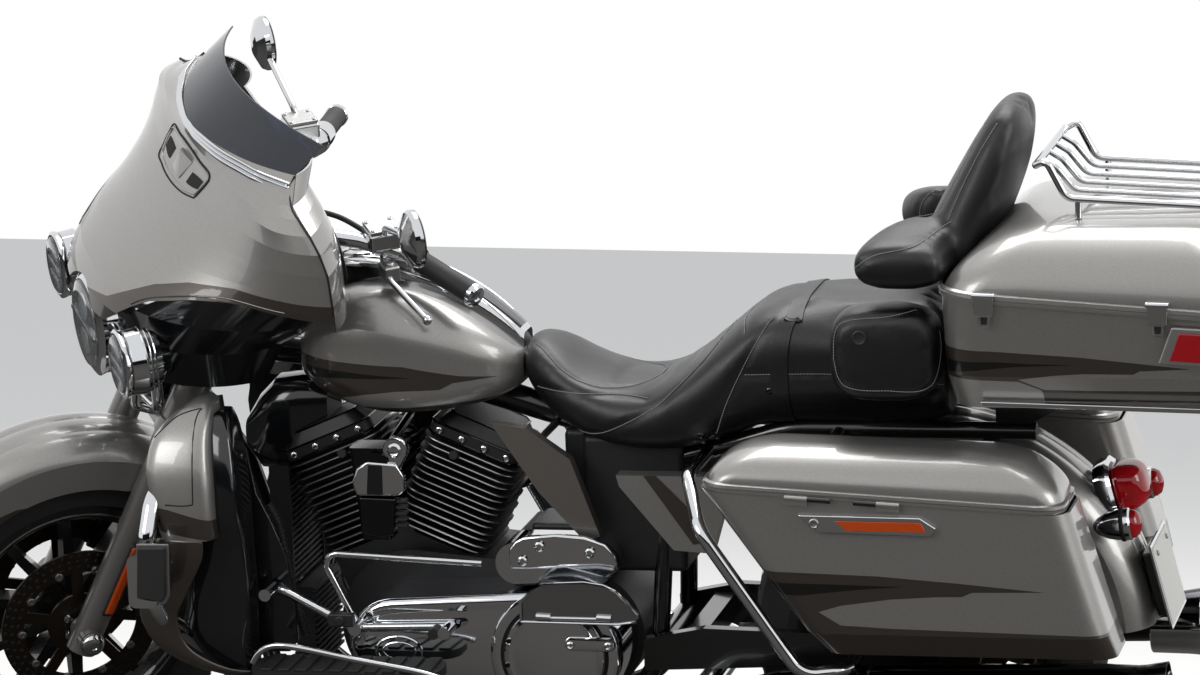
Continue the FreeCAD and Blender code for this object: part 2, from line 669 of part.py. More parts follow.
def primary_cover():
    """Left chain case with its round clutch lid, and the starter's domed cover seated on top of it."""
    long = long_round((CRANK.x + 15, 330, 84), CLUTCH, PRIMARY_FACE, PRIMARY_Y)
    clutch = Part.makeCylinder(118, 146, V(988, PRIMARY_Y, 320), V(0, -1, 0))
    lid = Part.makeCylinder(92, 10, V(988, PRIMARY_Y - 146, 320), V(0, -1, 0))
    oval = long_round((690, 322, 24), (760, 322, 24), PRIMARY_FACE - 8, PRIMARY_FACE)
    case = fuse([long, clutch, lid, oval])
    drums = [Part.makeCylinder(38, 96, V(x, PRIMARY_Y, 474), V(0, -1, 0)) for x in (910, 1050)]
    starter = fuse(drums + [box(905, 1055, PRIMARY_Y - 96, PRIMARY_Y, 400, 512)])
    seat_cut = long_round((CRANK.x + 15, 330, 84 + SEAT_GAP), (988, 320, 118 + SEAT_GAP), PRIMARY_FACE, 0)
    return Part.makeCompound([case, max(starter.cut(seat_cut).Solids, key=lambda part: part.Volume)])


def horn_cover():
    """Cover between the cylinders on the left, hung by its arm from the backbone."""
    shell = loft([section_z(520, 634, 688, -228, -172, 8), section_z(690, 620, 704, -236, -172, 8)], True)
    cap = Part.makeCylinder(21, 14, V(672, -232, 664), V(0, -1, 0))
    arm = tube([(CRANK.x, -180, 676), (CRANK.x, 0, 700), (CRANK.x, 0, 770)], 8, 20).cut(backbone(SEAT_GAP))
    return fuse([shell, cap, max(arm.Solids, key=lambda part: part.Volume)])


def air_cleaner():
    """Round air cleaner between the cylinders on the right."""
    back = FIN_HALF + SEAT_GAP
    return lathe([(back, 0), (back, 60), (120, 96), (178, 96), (196, 70), (200, 0)], V(CRANK.x, 0, 590))


MUFFLER_X = 1336.0
MUFFLER_Z = 262.0
MUFFLER_Y = 248.0
MUFFLER_R = 47.0
PIPE_R = 23.0


def mufflers():
    """Two tapered mufflers with flared tips, their ends open."""
    out = []
    for _, s in SIDES:
        profile = [(0, 24), (60, 38), (150, MUFFLER_R), (640, MUFFLER_R), (700, MUFFLER_R - 3),
                   (745, MUFFLER_R + 4), (745, MUFFLER_R), (600, MUFFLER_R - 7), (600, 0), (0, 0)]
        can = lathe(profile, V(MUFFLER_X, s * MUFFLER_Y, MUFFLER_Z), "x")
        can.rotate(V(MUFFLER_X, s * MUFFLER_Y, MUFFLER_Z), V(0, 1, 0), -1.5)
        out.append(can)
    return Part.makeCompound(out)


def exhaust_pipes():
    """Headers down the right side, joined, with the crossover to the left muffler."""
    port = FIN_HALF + SEAT_GAP
    end = MUFFLER_X - 3 * SEAT_GAP
    front = tube([(545, port, 600), (545, 152, 600), (470, 190, 330), (600, 205, 215),
                  (1270, MUFFLER_Y, MUFFLER_Z), (end, MUFFLER_Y, MUFFLER_Z)], PIPE_R, 60)
    rear = tube([(850, port, 560), (850, 160, 560), (960, 205, 330), (1010, 214, 235)], PIPE_R - 1, 60)
    cross = tube([(1130, 233, 249), (1235, 190, 235), (1235, -190, 235), (1280, -MUFFLER_Y, MUFFLER_Z),
                  (end, -MUFFLER_Y, MUFFLER_Z)], PIPE_R, 50)
    return fuse([front, rear, cross])


TANK_END = 905.0
# Tank sections: x, half width, bottom, top, top corner radius, bottom corner radius
TANK = (
    (498, 92, 792, 872, 36, 26),
    (545, 148, 768, 932, 74, 40),
    (640, 176, 738, 958, 92, 46),
    (760, 166, 735, 930, 84, 46),
    (860, 118, 752, 866, 46, 36),
    (TANK_END, 66, 776, 826, 22, 18),
)


def fuel_tank():
    """Teardrop tank straddling the backbone tube."""
    body = loft([section_x(*row) for row in TANK])
    neck = head(CLAMP_HIGH - 60, -30)
    slot = prism([neck, V(640, -30, 800), V(1180, -30, 640), V(1180, -30, 500), V(neck.x, -30, 500)], V(0, 60, 0))
    return body.cut(backbone(SEAT_GAP)).cut(slot)


def tank_console():
    """Long console along the tank's ridge, from the fuel lid to the seat."""
    rows = ((560, 40, 940, 992), (620, 56, 940, 996), (780, 52, 905, 948), (900, 34, 826, 858))
    body = loft([section_x(x, half, z0, z1, 14, 6) for x, half, z0, z1 in rows])
    return body.cut(loft([section_x(*row) for row in TANK]))


SEAT_HALF = 178.0
SEAT_PAN_Z = SUBFRAME_Z + TUBE_R + SEAT_GAP
SEAT_TOP_Z = SUBFRAME_Z + 222.0
# Seat sections: x, half width, bottom, top, top corner radius, bottom corner radius
SEAT = (
    (TANK_END + SEAT_GAP, 62, 786, 848, 22, 18),
    (960, 96, 742, 816, 30, 22),
    (1060, 158, 704, 778, 32, 24),
    (1170, 184, 690, 784, 40, 26),
    (1290, SEAT_HALF, SUBFRAME_Z - 2, SEAT_TOP_Z - 64, 60, 30),
    (1380, SEAT_HALF, SEAT_PAN_Z, SEAT_TOP_Z, 60, 30),
    (1540, SEAT_HALF, SEAT_PAN_Z, SEAT_TOP_Z, 50, 30),
    (1690, SEAT_HALF, SEAT_PAN_Z, SEAT_TOP_Z - 2, 50, 30),
)


def seat():
    return loft([section_x(*row) for row in SEAT], True)


def seat_pods():
    """Padded side pods that join the passenger seat to the trunk."""
    out = []
    for _, s in SIDES:
        y0, y1 = sorted((s * (SEAT_HALF + SEAT_GAP), s * 292))
        out.append(loft([section_z(SUBFRAME_Z + up, x0, 1694, y0, y1, 26)
                         for up, x0 in ((80, 1560), (170, 1500), (252, 1520))]))
    return Part.makeCompound(out)


def side_covers():
    """A cover each side below the seat, on a post from the frame's rear tube."""
    out = []
    for _, s in SIDES:
        y0, y1 = sorted((s * 168, s * 206))
        panel = prism([V(1100, y0, 640), V(1290, y0, 640), V(1300, y0, 600), V(1270, y0, 500),
                       V(1200, y0, 505), V(1105, y0, 620)], V(0, y1 - y0, 0))
        out.append(posted(panel, V(1168, 0, 600), s * 170, cradle_rail(s, SEAT_GAP)))
    return Part.makeCompound(out)


def mid_deflectors():
    """Heat shields between the tank's rear, the seat and the rear cylinder, on posts from the backbone."""
    out = []
    for _, s in SIDES:
        y0, y1 = sorted((s * 150, s * 176))
        panel = prism([V(868, y0, 724), V(930, y0, 716), V(1010, y0, 660), V(1060, y0, 520),
                       V(1030, y0, 512), V(950, y0, 600)], V(0, y1 - y0, 0))
        out.append(posted(panel, V(950, 0, 690), s * 152, backbone(SEAT_GAP)))
    return Part.makeCompound(out)


def posted(panel, foot, y, tube_clear):
    """The panel with its post, which ends one gap off the tube that carries it."""
    post = rod(foot, V(foot.x, y, foot.z), 7).cut(tube_clear)
    outer = max(post.Solids, key=lambda part: abs(part.CenterOfMass.y))
    return fuse([panel, outer])


# Luggage

def above(shape, x, z, fall):
    """Everything above a seam that starts at x, z and falls rearward."""
    block = box(-1500, 3000, -1500, 1500, 0, 2000)
    block.rotate(V(0, 0, 0), V(0, 1, 0), fall)
    block.translate(V(x, 0, z))
    return shape.common(block)


def below(shape, x, z, fall):
    block = box(-1500, 3000, -1500, 1500, -2000, 0)
    block.rotate(V(0, 0, 0), V(0, 1, 0), fall)
    block.translate(V(x, 0, z))
    return shape.common(block)


# Saddlebag levels: z, front x, rear x, the outer face inward of BAG_OUT, corner radius
BAG = (
    (378, 1508, 2012, 26, 34),
    (420, 1472, 2000, 4, 40),
    (660, 1302, 1930, 0, 44),
    (760, 1240, 1900, 0, 44),
)
BAG_LID = (
    (600, 1302, 1950, 0, 44),
    (690, 1302, 1916, 2, 44),
    (742, 1352, 1850, 40, 44),
)
# Trunk levels: z, front x, rear x, half width, corner radius
TRUNK = (
    (SUBFRAME_Z + 80, 1716, 2196, 280, 60),
    (SUBFRAME_Z + 140, 1704, 2230, 306, 70),
    (SUBFRAME_Z + 280, TRUNK_X0, TRUNK_X1, TRUNK_HALF, 80),
    (SUBFRAME_Z + 330, 1716, 2232, 312, 80),
    (SUBFRAME_Z + 396, 1800, 2180, 236, 80),
)
TRUNK_LID_Z = TRUNK[-1][0]


# Lid hinges: a saddlebag lid opens outward about its outer seam, the trunk lid to the right
HINGE_OUT = 7.0
HINGE_R = 5.0
HINGE_BODY = ((150, 190), (310, 350))      # barrels along the hinge line, the lid's beside the body's
HINGE_LID = ((190.5, 230), (270, 309.5))
BAG_HINGE = V(BAG_SEAM_X, -BAG_OUT - HINGE_OUT, BAG_SEAM_Z)
BAG_HINGE_AXIS = V(cosd(SEAM_FALL), 0, -sind(SEAM_FALL))
TRUNK_HINGE = V(TRUNK_X0, TRUNK_HALF + HINGE_OUT, TRUNK_SEAM_Z)
TRUNK_HINGE_AXIS = V(-cosd(TRUNK_FALL), 0, sind(TRUNK_FALL))


def hollow(levels, outline):
    """A lofted shell; outline(level, grow, lift) draws one of its levels."""
    lift = [SHELL] + [0] * (len(levels) - 2) + [-SHELL]
    outer = loft([outline(level, 0, 0) for level in levels], True)
    inner = loft([outline(level, -SHELL, up) for level, up in zip(levels, lift)], True)
    return outer.cut(inner)


def bag_outline(level, grow, lift):
    z, x0, x1, inward, r = level
    return section_z(z + lift, x0 - grow, x1 + grow, -BAG_OUT + inward - grow, -BAG_IN + grow, r + grow)


def trunk_outline(level, grow, lift):
    z, x0, x1, half, r = level
    return section_z(z + lift, x0 - grow, x1 + grow, -half - grow, half + grow, r + grow)


def knuckles(place, fall, spans, inward, low, high):
    """Barrels along a hinge line that falls rearward, each with its leaf to the wall beside it."""
    out = []
    for x0, x1 in spans:
        y0, y1 = sorted((0, inward * (HINGE_OUT + 3.5)))
        piece = fuse([Part.makeCylinder(HINGE_R, x1 - x0, V(x0, 0, 0), V(1, 0, 0)), box(x0, x1, y0, y1, low, high)])
        piece.rotate(V(0, 0, 0), V(0, 1, 0), fall)
        piece.translate(place)
        out.append(piece)
    return out


def bag():
    """A left saddlebag: body below the seam, lid above it, both hollow, hinged along the outer side."""
    body = below(hollow(BAG, bag_outline), BAG_SEAM_X, BAG_SEAM_Z - LID_GAP, SEAM_FALL)
    lid = above(hollow(BAG_LID, bag_outline), BAG_SEAM_X, BAG_SEAM_Z, SEAM_FALL)
    return (fuse([body] + knuckles(BAG_HINGE, SEAM_FALL, HINGE_BODY, 1, -12, -LID_GAP)),
            fuse([lid] + knuckles(BAG_HINGE, SEAM_FALL, HINGE_LID, 1, LID_GAP, 12)))


def trunk():
    """Trunk body and lid, hollow, parted at the falling seam."""
    shell = hollow(TRUNK, trunk_outline)
    body = below(shell, TRUNK_X0, TRUNK_SEAM_Z - LID_GAP, TRUNK_FALL)
    lid = above(shell, TRUNK_X0, TRUNK_SEAM_Z, TRUNK_FALL)
    return (fuse([body] + knuckles(TRUNK_HINGE, TRUNK_FALL, HINGE_BODY, -1, -12, -LID_GAP)),
            fuse([lid] + knuckles(TRUNK_HINGE, TRUNK_FALL, HINGE_LID, -1, LID_GAP, 12)))


RACK_HALF = 190.0
RACK_END = 2236.0
RACK_END_Z = TRUNK_LID_Z + 18.0
RACK_R = 6.5


def luggage_rack():
    """Chrome rails on the trunk lid: two side rails, slats between them and four feet."""
    pieces = []
    for _, s in SIDES:
        y = s * RACK_HALF
        pieces.append(tube([(1858, y * 0.94, TRUNK_LID_Z + 90), (1878, y, TRUNK_LID_Z + 100),
                            (1912, y, TRUNK_LID_Z + 34), (1990, y, TRUNK_LID_Z + 30),
                            (RACK_END, y, RACK_END_Z)], RACK_R, 26))
        for x in (1932, 2160):
            pieces.append(rod(V(x, y, TRUNK_LID_Z + SEAT_GAP), V(x, y, TRUNK_LID_Z + 30), 5.5))
    bars = ((1858, RACK_HALF * 0.94, TRUNK_LID_Z + 90), (RACK_END, RACK_HALF, RACK_END_Z))
    pieces += [rod(V(x, -half, z), V(x, half, z), RACK_R) for x, half, z in bars]
    for y in (-114, -38, 38, 114):
        pieces.append(tube([(1858, y, TRUNK_LID_Z + 90), (1884, y, TRUNK_LID_Z + 74),
                            (1916, y, TRUNK_LID_Z + 34), (RACK_END, y, RACK_END_Z)], 5, 30))
    return fuse(pieces)


# Backrest levels: height over the subframe, front x, rear x, half width, corner radius
BACKREST_PAD = (
    (284, 1650, 1716, 176, 24),
    (400, 1676, 1756, 160, 26),
    (510, 1738, 1800, 140, 22),
    (558, 1768, 1806, 110, 14),
)
# Its arms: height, front x, rear x, inner y, outer y, corner radius
BACKREST_ARM = (
    (284, 1548, 1704, 170, 284, 30),
    (330, 1570, 1704, 170, 284, 30),
    (366, 1610, 1700, 178, 276, 26),
)


def backrest():
    """Passenger's back pad with its wrap-round arms, seated against the trunk lid that carries it."""
    pad = loft([section_z(SUBFRAME_Z + up, x0, x1, -half, half, r) for up, x0, x1, half, r in BACKREST_PAD])
    arms = []
    for _, s in SIDES:
        arms.append(loft([section_z(SUBFRAME_Z + up, x0, x1, *sorted((s * y0, s * y1)), r)
                          for up, x0, x1, y0, y1, r in BACKREST_ARM]))
    lid = loft([trunk_outline(level, SEAT_GAP, 0) for level in TRUNK], True)
    return fuse([pad] + arms).cut(lid)


REAR_FENDER_HALF = 112.0
FENDER_HUB = REAR_AXLE + V(8, 0, 0)


def fender_point(angle, out=0.0):
    """A point over the rear fender's crown, angle up from level behind the axle."""
    r = REAR_FENDER_R + out
    return V(FENDER_HUB.x + r * cosd(angle), 0, FENDER_HUB.z + r * sind(angle))


def off_fender(shape):
    """The shape, kept one gap outside the rear fender's crown."""
    return shape.cut(Part.makeCylinder(REAR_FENDER_R + SEAT_GAP, 400, FENDER_HUB - V(0, 200, 0), V(0, 1, 0)))


def rear_fender():
    return fender_shell(FENDER_HUB, REAR_FENDER_R, REAR_FENDER_R - 150, REAR_FENDER_HALF, -34, 86)


def rear_lamps():
    """Tail lamp on the fender, a turn signal each side on its bar, and the plate on its holder."""
    lamp = Part.makeCylinder(52, 74, fender_point(40, -8), V(cosd(24), 0, sind(24)))
    bar = fender_point(33, 12)
    pods = [lathe([(-30, 0), (-26, 26), (24, 34), (34, 34), (40, 0)], bar + V(8, s * 150, 0), "x")
            for _, s in SIDES]
    signals = fuse([rod(bar - V(0, 150, 0), bar + V(0, 150, 0), 9)] + pods)
    plate = fuse([box(-4, 0, -92, 92, -70, 70), box(-50, -4, -30, 30, -24, 40)])
    plate.rotate(V(0, 0, 0), V(0, 1, 0), -24)
    plate.translate(fender_point(14, 24))
    return Part.makeCompound([off_fender(lamp), signals, off_fender(plate)])


BAG_ARMS = (1445.0, 1760.0)


def luggage_carrier():
    """Trunk carrier on the rear subframe, and the saddlebags' brackets beside the fender."""
    top = TRUNK[0][0] - SEAT_GAP
    pieces = [box(1740, 2120, -120, 120, top - 12, top)]
    arms = []
    for _, s in SIDES:
        y0, y1 = sorted((s * 104, s * 132))
        foot = SUBFRAME_Z + TUBE_R + SEAT_GAP
        pieces.append(prism([V(1770, y0, foot), V(1830, y0, foot), V(1930, y0, top - 10), V(1770, y0, top - 10)],
                            V(0, y1 - y0, 0)))
        y0, y1 = sorted((s * (REAR_FENDER_HALF + SEAT_GAP), s * (REAR_FENDER_HALF + 12)))
        for x in BAG_ARMS:
            plate = box(x - 15, x + 15, y0, y1, 600, SUBFRAME_Z - TUBE_R - SEAT_GAP)
            arm = rod(V(x, s * (REAR_FENDER_HALF + 6), 618), V(x, s * (BAG_IN - SEAT_GAP), 618), 9)
            arms.append(fuse([plate, arm]))
    return Part.makeCompound([fuse(pieces)] + arms)


def bag_guards():
    """A tube round the front of each saddlebag, from the subframe to above the muffler."""
    out = []
    for _, s in SIDES:
        loop = tube([(1250, s * 90, 664), (1250, s * 300, 664), (1290, s * 398, 590), (1462, s * 400, 336),
                     (1540, s * 380, 342), (1540, s * MUFFLER_Y, 342)], 12, 50)
        solids = loop.cut(subframe_rail(s, SEAT_GAP)).Solids
        out.append(max(solids, key=lambda part: part.Volume))
    return Part.makeCompound(out)


def guard_tube(grow=0.0):
    """The right engine guard's path, from the frame out round the leg shield and back."""
    return tube([(345, 72, 596), (330, 240, 652), (300, 385, 640), (292, 418, 560), (300, 400, 420),
                 (400, 200, 262), (436, RAIL_Y, 232)], GUARD_R + grow, 60)


def engine_guard():
    """Chrome guard tube round the leg shields, with a highway peg on each side."""
    peg = Part.Face(rounded([V(270, 438, 450), V(322, 438, 450), V(322, 438, 545), V(270, 438, 545)], [12] * 4))
    right = fuse([guard_tube(), peg.extrude(V(0, 30, 0)), rod(V(294, 412, 500), V(294, 442, 500), 12)])
    solids = right.cut(cradle_rail(1, SEAT_GAP)).Solids
    return Part.makeCompound(both(max(solids, key=lambda part: part.Volume)))


def lower_fairings():
    """Leg shields: a bowed shell each side, open to the rear."""
    rows = ((286, 392, 452, 262, 340), (420, 326, 455, 300, 400), (560, 292, 452, 292, 404),
            (680, 288, 440, 262, 380), (775, 352, 420, 244, 330))

    def outline(row, grow, lift):
        z, x0, x1, y0, y1 = row
        a, b = V(x1 + max(0, -grow), y0 - grow, z + lift), V(x1 + max(0, -grow), y1 + grow, z + lift)
        nose = V(x0 - grow, (y0 + y1) / 2, z + lift)
        return Part.Wire([Part.Arc(a, nose, b).toShape(), Part.LineSegment(b, a).toShape()])
    outer = loft([outline(r, 0, 0) for r in rows], True)
    inner = loft([outline(r, -SHELL, 0) for r in rows], True)
    shell = outer.cut(inner)
    shell = shell.cut(guard_tube(SEAT_GAP))
    return Part.makeCompound(both(max(shell.Solids, key=lambda part: part.Volume)))


def footboards():
    """Rider's boards, each on two bent arms from the cradle rail."""
    out = []
    for _, s in SIDES:
        y0, y1 = sorted((s * 268, s * 380))
        board = Part.Face(section_z(298, 452, 800, y0, y1, 40)).extrude(V(0, 0, 16))
        arms = [tube([(x, s * (RAIL_Y + TUBE_R + SEAT_GAP), RAIL_Z), (x, s * 262, RAIL_Z), (x, s * 304, 302)],
                     10, 30) for x in (580, 740)]
        out.append(fuse([board] + arms))
    return Part.makeCompound(out)


def shift_linkage():
    """Heel-and-toe lever pivoted on the primary cover, and the rod back to the gearbox."""
    y = PRIMARY_FACE - 28
    lever = tube([(478, y - 16, 440), (494, y, 432), (620, y, 366), (800, y, 372)], 8, 40)
    toe = rod(V(478, y - 66, 440), V(478, y - 8, 440), 11)
    heel = rod(V(800, y - 50, 372), V(800, y, 372), 11)
    hub = rod(V(626, y - 14, 366), V(626, PRIMARY_FACE - SEAT_GAP, 366), 12)
    crank = tube([(626, y + 12, 366), (560, y + 12, 500), (860, y + 12, 486)], 6, 20)
    return fuse([lever, toe, heel, hub, crank])


def side_stand():
    """Prop leg from the left rail to its foot, flat on the floor as the machine leans."""
    half = STAND_AXIS * (STAND_EYE / 2)
    leg = tube([STAND_PIVOT, STAND_PIVOT * 0.45 + STAND_FOOT * 0.55 - DOWN * 10, STAND_FOOT - DOWN * 8],
               STAND_R, 120)
    pad = Part.makeCylinder(34, 8, STAND_FOOT, DOWN * -1)
    eye = rod(STAND_PIVOT - half, STAND_PIVOT + half, STAND_EYE_R)
    return fuse([leg, pad, eye]).cut(rod(STAND_PIVOT - half * 2, STAND_PIVOT + half * 2, STAND_PIN_R + RUN))


def stand_lug():
    """The frame's lug under the stand's eye, with the pin up through it and the arm from the rail."""
    face = STAND_PIVOT - STAND_AXIS * (STAND_EYE / 2 + SEAT_GAP)
    return [Part.makeCylinder(STAND_EYE_R, 14, face, STAND_AXIS * -1),
            rod(face - STAND_AXIS * 8, STAND_PIVOT + STAND_AXIS * (STAND_EYE / 2), STAND_PIN_R),
            rod(face - STAND_AXIS * 7, V(STAND_PIVOT.x, -RAIL_Y, RAIL_Z - 5), 5)]


# Handlebar and what the fork carries above

# The low screen leans back from the fairing's top edge to this level, and its rim falls rearward
SCREEN_TOP = (1330, 478, 275, (373, 379, 398, 425, 455))
SCREEN_RIM = ((340, 1339), (520, 1290))


def windshield():
    """Low screen that stands on the fairing's top edge."""
    shell = open_shell(((FAIRING_TOP[0] + SEAT_GAP,) + FAIRING_TOP[1:], SCREEN_TOP), fairing_section)
    (x0, z0), (x1, z1) = SCREEN_RIM
    over = prism([V(x0, -500, z0), V(x1, -500, z1), V(x1, -500, 1500), V(x0, -500, 1500)], V(0, 1000, 0))
    return max(shell.cut(over).Solids, key=lambda part: part.Volume)


def headlight():
    """Headlamp shell with its rim and domed lens."""
    return lathe([(-18, 0), (-12, 60), (-4, HEADLAMP_R), (4, HEADLAMP_RIM_R), (24, HEADLAMP_RIM_R),
                  (60, HEADLAMP_R), (110, 50), (HEADLAMP_DEEP, 30), (HEADLAMP_DEEP, 0)], HEADLAMP, "x")


def passing_lamps():
    """Two lamps in chrome bowls, on the bracket bar across the fork."""
    pieces = []
    for _, s in SIDES:
        bowl = lathe([(-8, 0), (-4, 40), (4, LAMP_R), (30, LAMP_R + 2), (62, LAMP_R - 12), (84, 24), (88, 0)],
                     V(80, s * LAMP_Y, 918), "x")
        pieces.append(bowl)
        pieces.append(tube([(136, s * LAMP_Y, 905), (140, s * LAMP_Y, 815), (140, s * 110, 795), (140, 0, 795)],
                           11, 24))
        face = LEG_BACK - 30 - SEAT_GAP
        along = CLAMP_LOW + CLAMP_T / 2
        pieces.append(tube([head(along, s * 60, face), head(along, s * 60, face - 36), (140, s * 60, 795)], 9, 12))
    return fuse(pieces)


GRIP_R = 18.0
HOUSING_R = 25.0
GRIP_IN = V(612, 272, 1056)
GRIP_OUT = V(684, 404, 1026)
LEVER_KNEE = V(556, 300, 1034)
LEVER_TIP = V(590, 398, 996)


def bar_tube(grow=0.0):
    """The right half of the handlebar's tube."""
    middle = head(CLAMP_HIGH + CLAMP_T + 95)
    return tube([middle, middle + V(0, 70, 0), (380, 190, 1120), (520, 236, 1090), GRIP_IN, GRIP_OUT],
                BAR_R + grow, 60)


def housing_end():
    """The inner end of the right switch housing."""
    return GRIP_IN - (GRIP_OUT - GRIP_IN).normalize() * 42


def handlebar():
    """Bar with its two risers, rubber grips, switch housings and levers."""
    along = (GRIP_OUT - GRIP_IN).normalize()
    housing = GRIP_IN - along * 20
    pivot = housing + V(-44, 0, -4)
    right = [bar_tube(), rod(GRIP_IN, GRIP_OUT, GRIP_R), rod(housing_end(), GRIP_IN, HOUSING_R),
             rod(head(CLAMP_HIGH + CLAMP_T + SEAT_GAP, 50), head(CLAMP_HIGH + CLAMP_T + 95, 50), 15),
             tube([pivot, LEVER_KNEE, LEVER_TIP], 6, 60), rod(pivot, housing, 9)]
    return fuse(both(fuse(right)))


MIRROR = V(556, 442, 1182)
MIRROR_R = 52.0


def mirrors():
    out = []
    for _, s in SIDES:
        centre = V(MIRROR.x, s * MIRROR.y, MIRROR.z)
        pod = lathe([(-22, 0), (-18, 24), (-6, MIRROR_R - 4), (2, MIRROR_R), (8, MIRROR_R), (8, 0)], centre, "x")
        stalk = tube([(566, s * 252, 1076), (560, s * 272, 1124),
                      (MIRROR.x, s * (MIRROR.y - MIRROR_R + 6), MIRROR.z - 14)], 6, 20)
        housing = rod(housing_end(), GRIP_IN, HOUSING_R + SEAT_GAP)
        stalk = stalk.cut(side(bar_tube(SEAT_GAP), -s)).cut(side(housing, -s))
        out.append(fuse([pod, max(stalk.Solids, key=lambda part: part.Volume)]))
    return Part.makeCompound(out)


def steered(nodes):
    nodes["fork"] = fork()
    nodes["front_calipers"] = calipers()
    nodes["front_fender"] = front_fender()
    nodes["outer_fairing"] = outer_fairing()
    nodes["inner_fairing"] = inner_fairing()
    nodes["fairing_chin"] = fairing_chin()
    nodes["windshield"] = windshield()
    nodes["headlight"] = headlight()
    nodes["passing_lamps"] = passing_lamps()
    nodes["handlebar"] = handlebar()
    nodes["mirrors"] = mirrors()


def chassis(nodes):
    bag_left, lid_left = bag()
    trunk_body, trunk_lid = trunk()
    nodes["frame"] = frame()
    nodes["swingarm"] = swingarm()
    nodes["shocks"] = shocks()
    nodes["engine_cases"] = engine_cases()
    nodes["cylinders"] = cylinders()
    nodes["rocker_covers"] = Part.makeCompound([up_bank(rocker_cover(), b) for b in (-BANK, BANK)])
    nodes["primary_cover"] = primary_cover()
    nodes["horn_cover"] = horn_cover()
    nodes["air_cleaner"] = air_cleaner()
    nodes["mufflers"] = mufflers()
    nodes["exhaust_pipes"] = exhaust_pipes()
    nodes["fuel_tank"] = fuel_tank()
    nodes["tank_console"] = tank_console()
    nodes["seat"] = seat()
    nodes["seat_pods"] = seat_pods()
    nodes["side_covers"] = side_covers()
    nodes["mid_deflectors"] = mid_deflectors()
    nodes["rear_fender"] = rear_fender()
    nodes["rear_lamps"] = rear_lamps()
    nodes["luggage_carrier"] = luggage_carrier()
    nodes["trunk_body"] = trunk_body
    nodes["bag_guards"] = bag_guards()
    nodes["engine_guard"] = engine_guard()
    nodes["lower_fairings"] = lower_fairings()
    nodes["footboards"] = footboards()
    nodes["shift_linkage"] = shift_linkage()
    for name, s in SIDES:
        nodes["bag_" + name] = side(bag_left, s)
        nodes["bag_lid_" + name] = side(lid_left, s)
    nodes["trunk_lid"] = trunk_lid
    nodes["luggage_rack"] = luggage_rack()
    nodes["backrest"] = backrest()
    nodes["side_stand"] = side_stand()


def main():
    os.makedirs("parts", exist_ok=True)
    steer = Placement(V(0, 0, 0), Rotation(STEER_DIR, STEER_LOCK), STEER_FOOT)
    front = {}
    steered(front)
    rolling = {}
    wheels(rolling)
    for name in ("front_tyre", "front_rim", "front_discs"):
        front[name] = rolling.pop(name)
    rest = dict(rolling)
    chassis(rest)
    for name, shape in front.items():
        shape.Placement = steer.multiply(shape.Placement)
    rest.update(front)
    for name, shape in rest.items():
        shape.Placement = STANCE.multiply(shape.Placement)
    boxes = [shape.optimalBoundingBox(False) for shape in rest.values()]
    mid_x = (min(b.XMin for b in boxes) + max(b.XMax for b in boxes)) / 2
    mid_y = (min(b.YMin for b in boxes) + max(b.YMax for b in boxes)) / 2
    for name, shape in rest.items():
        shape.translate(V(-mid_x, -mid_y, 0))
        shape.exportStep("parts/" + name + ".step")
    return rest, V(-mid_x, -mid_y, 0)


if __name__ == "__main__":
    main()
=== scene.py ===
# %% [markdown]
# # A touring cruiser motorcycle on its side stand
# The metal and plastic parts come from the CAD model, already in place: leaning 10 degrees to the left,
# with the bars on their stop. This lesson dresses them: paint, chrome, leather, rubber and lamps, and
# the forms that are easier to model here than in CAD, such as the fairing's skin and the padded seat.

# %% Load the frame
import bpy
import bmesh
import json
import math
import numpy as np
from mathutils import Matrix, Vector

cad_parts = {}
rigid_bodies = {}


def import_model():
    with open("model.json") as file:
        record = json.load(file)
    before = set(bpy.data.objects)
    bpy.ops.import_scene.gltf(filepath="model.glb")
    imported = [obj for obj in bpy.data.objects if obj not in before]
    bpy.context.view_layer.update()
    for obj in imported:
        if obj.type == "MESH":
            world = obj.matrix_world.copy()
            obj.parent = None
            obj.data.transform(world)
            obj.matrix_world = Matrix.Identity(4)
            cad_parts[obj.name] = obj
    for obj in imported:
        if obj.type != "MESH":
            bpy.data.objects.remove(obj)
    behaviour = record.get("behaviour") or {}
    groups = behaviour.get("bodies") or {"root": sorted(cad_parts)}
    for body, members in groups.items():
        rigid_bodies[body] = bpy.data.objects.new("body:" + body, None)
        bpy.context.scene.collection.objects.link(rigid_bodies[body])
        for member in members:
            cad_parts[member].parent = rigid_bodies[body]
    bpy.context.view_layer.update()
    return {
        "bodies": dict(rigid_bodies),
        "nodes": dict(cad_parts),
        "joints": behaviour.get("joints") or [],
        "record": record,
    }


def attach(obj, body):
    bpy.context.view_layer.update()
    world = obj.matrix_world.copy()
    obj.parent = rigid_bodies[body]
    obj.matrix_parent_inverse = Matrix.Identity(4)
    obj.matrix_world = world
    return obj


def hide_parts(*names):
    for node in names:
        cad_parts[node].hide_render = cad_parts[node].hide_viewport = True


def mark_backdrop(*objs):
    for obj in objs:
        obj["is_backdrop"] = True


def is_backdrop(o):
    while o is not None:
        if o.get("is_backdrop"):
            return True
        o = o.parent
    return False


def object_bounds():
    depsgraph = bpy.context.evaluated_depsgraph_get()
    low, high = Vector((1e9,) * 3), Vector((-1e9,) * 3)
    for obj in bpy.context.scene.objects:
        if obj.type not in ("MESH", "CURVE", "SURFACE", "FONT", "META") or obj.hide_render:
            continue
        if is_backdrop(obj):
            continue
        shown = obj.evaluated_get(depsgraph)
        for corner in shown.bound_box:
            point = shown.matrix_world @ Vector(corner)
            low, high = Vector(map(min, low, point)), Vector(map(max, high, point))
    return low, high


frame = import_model()

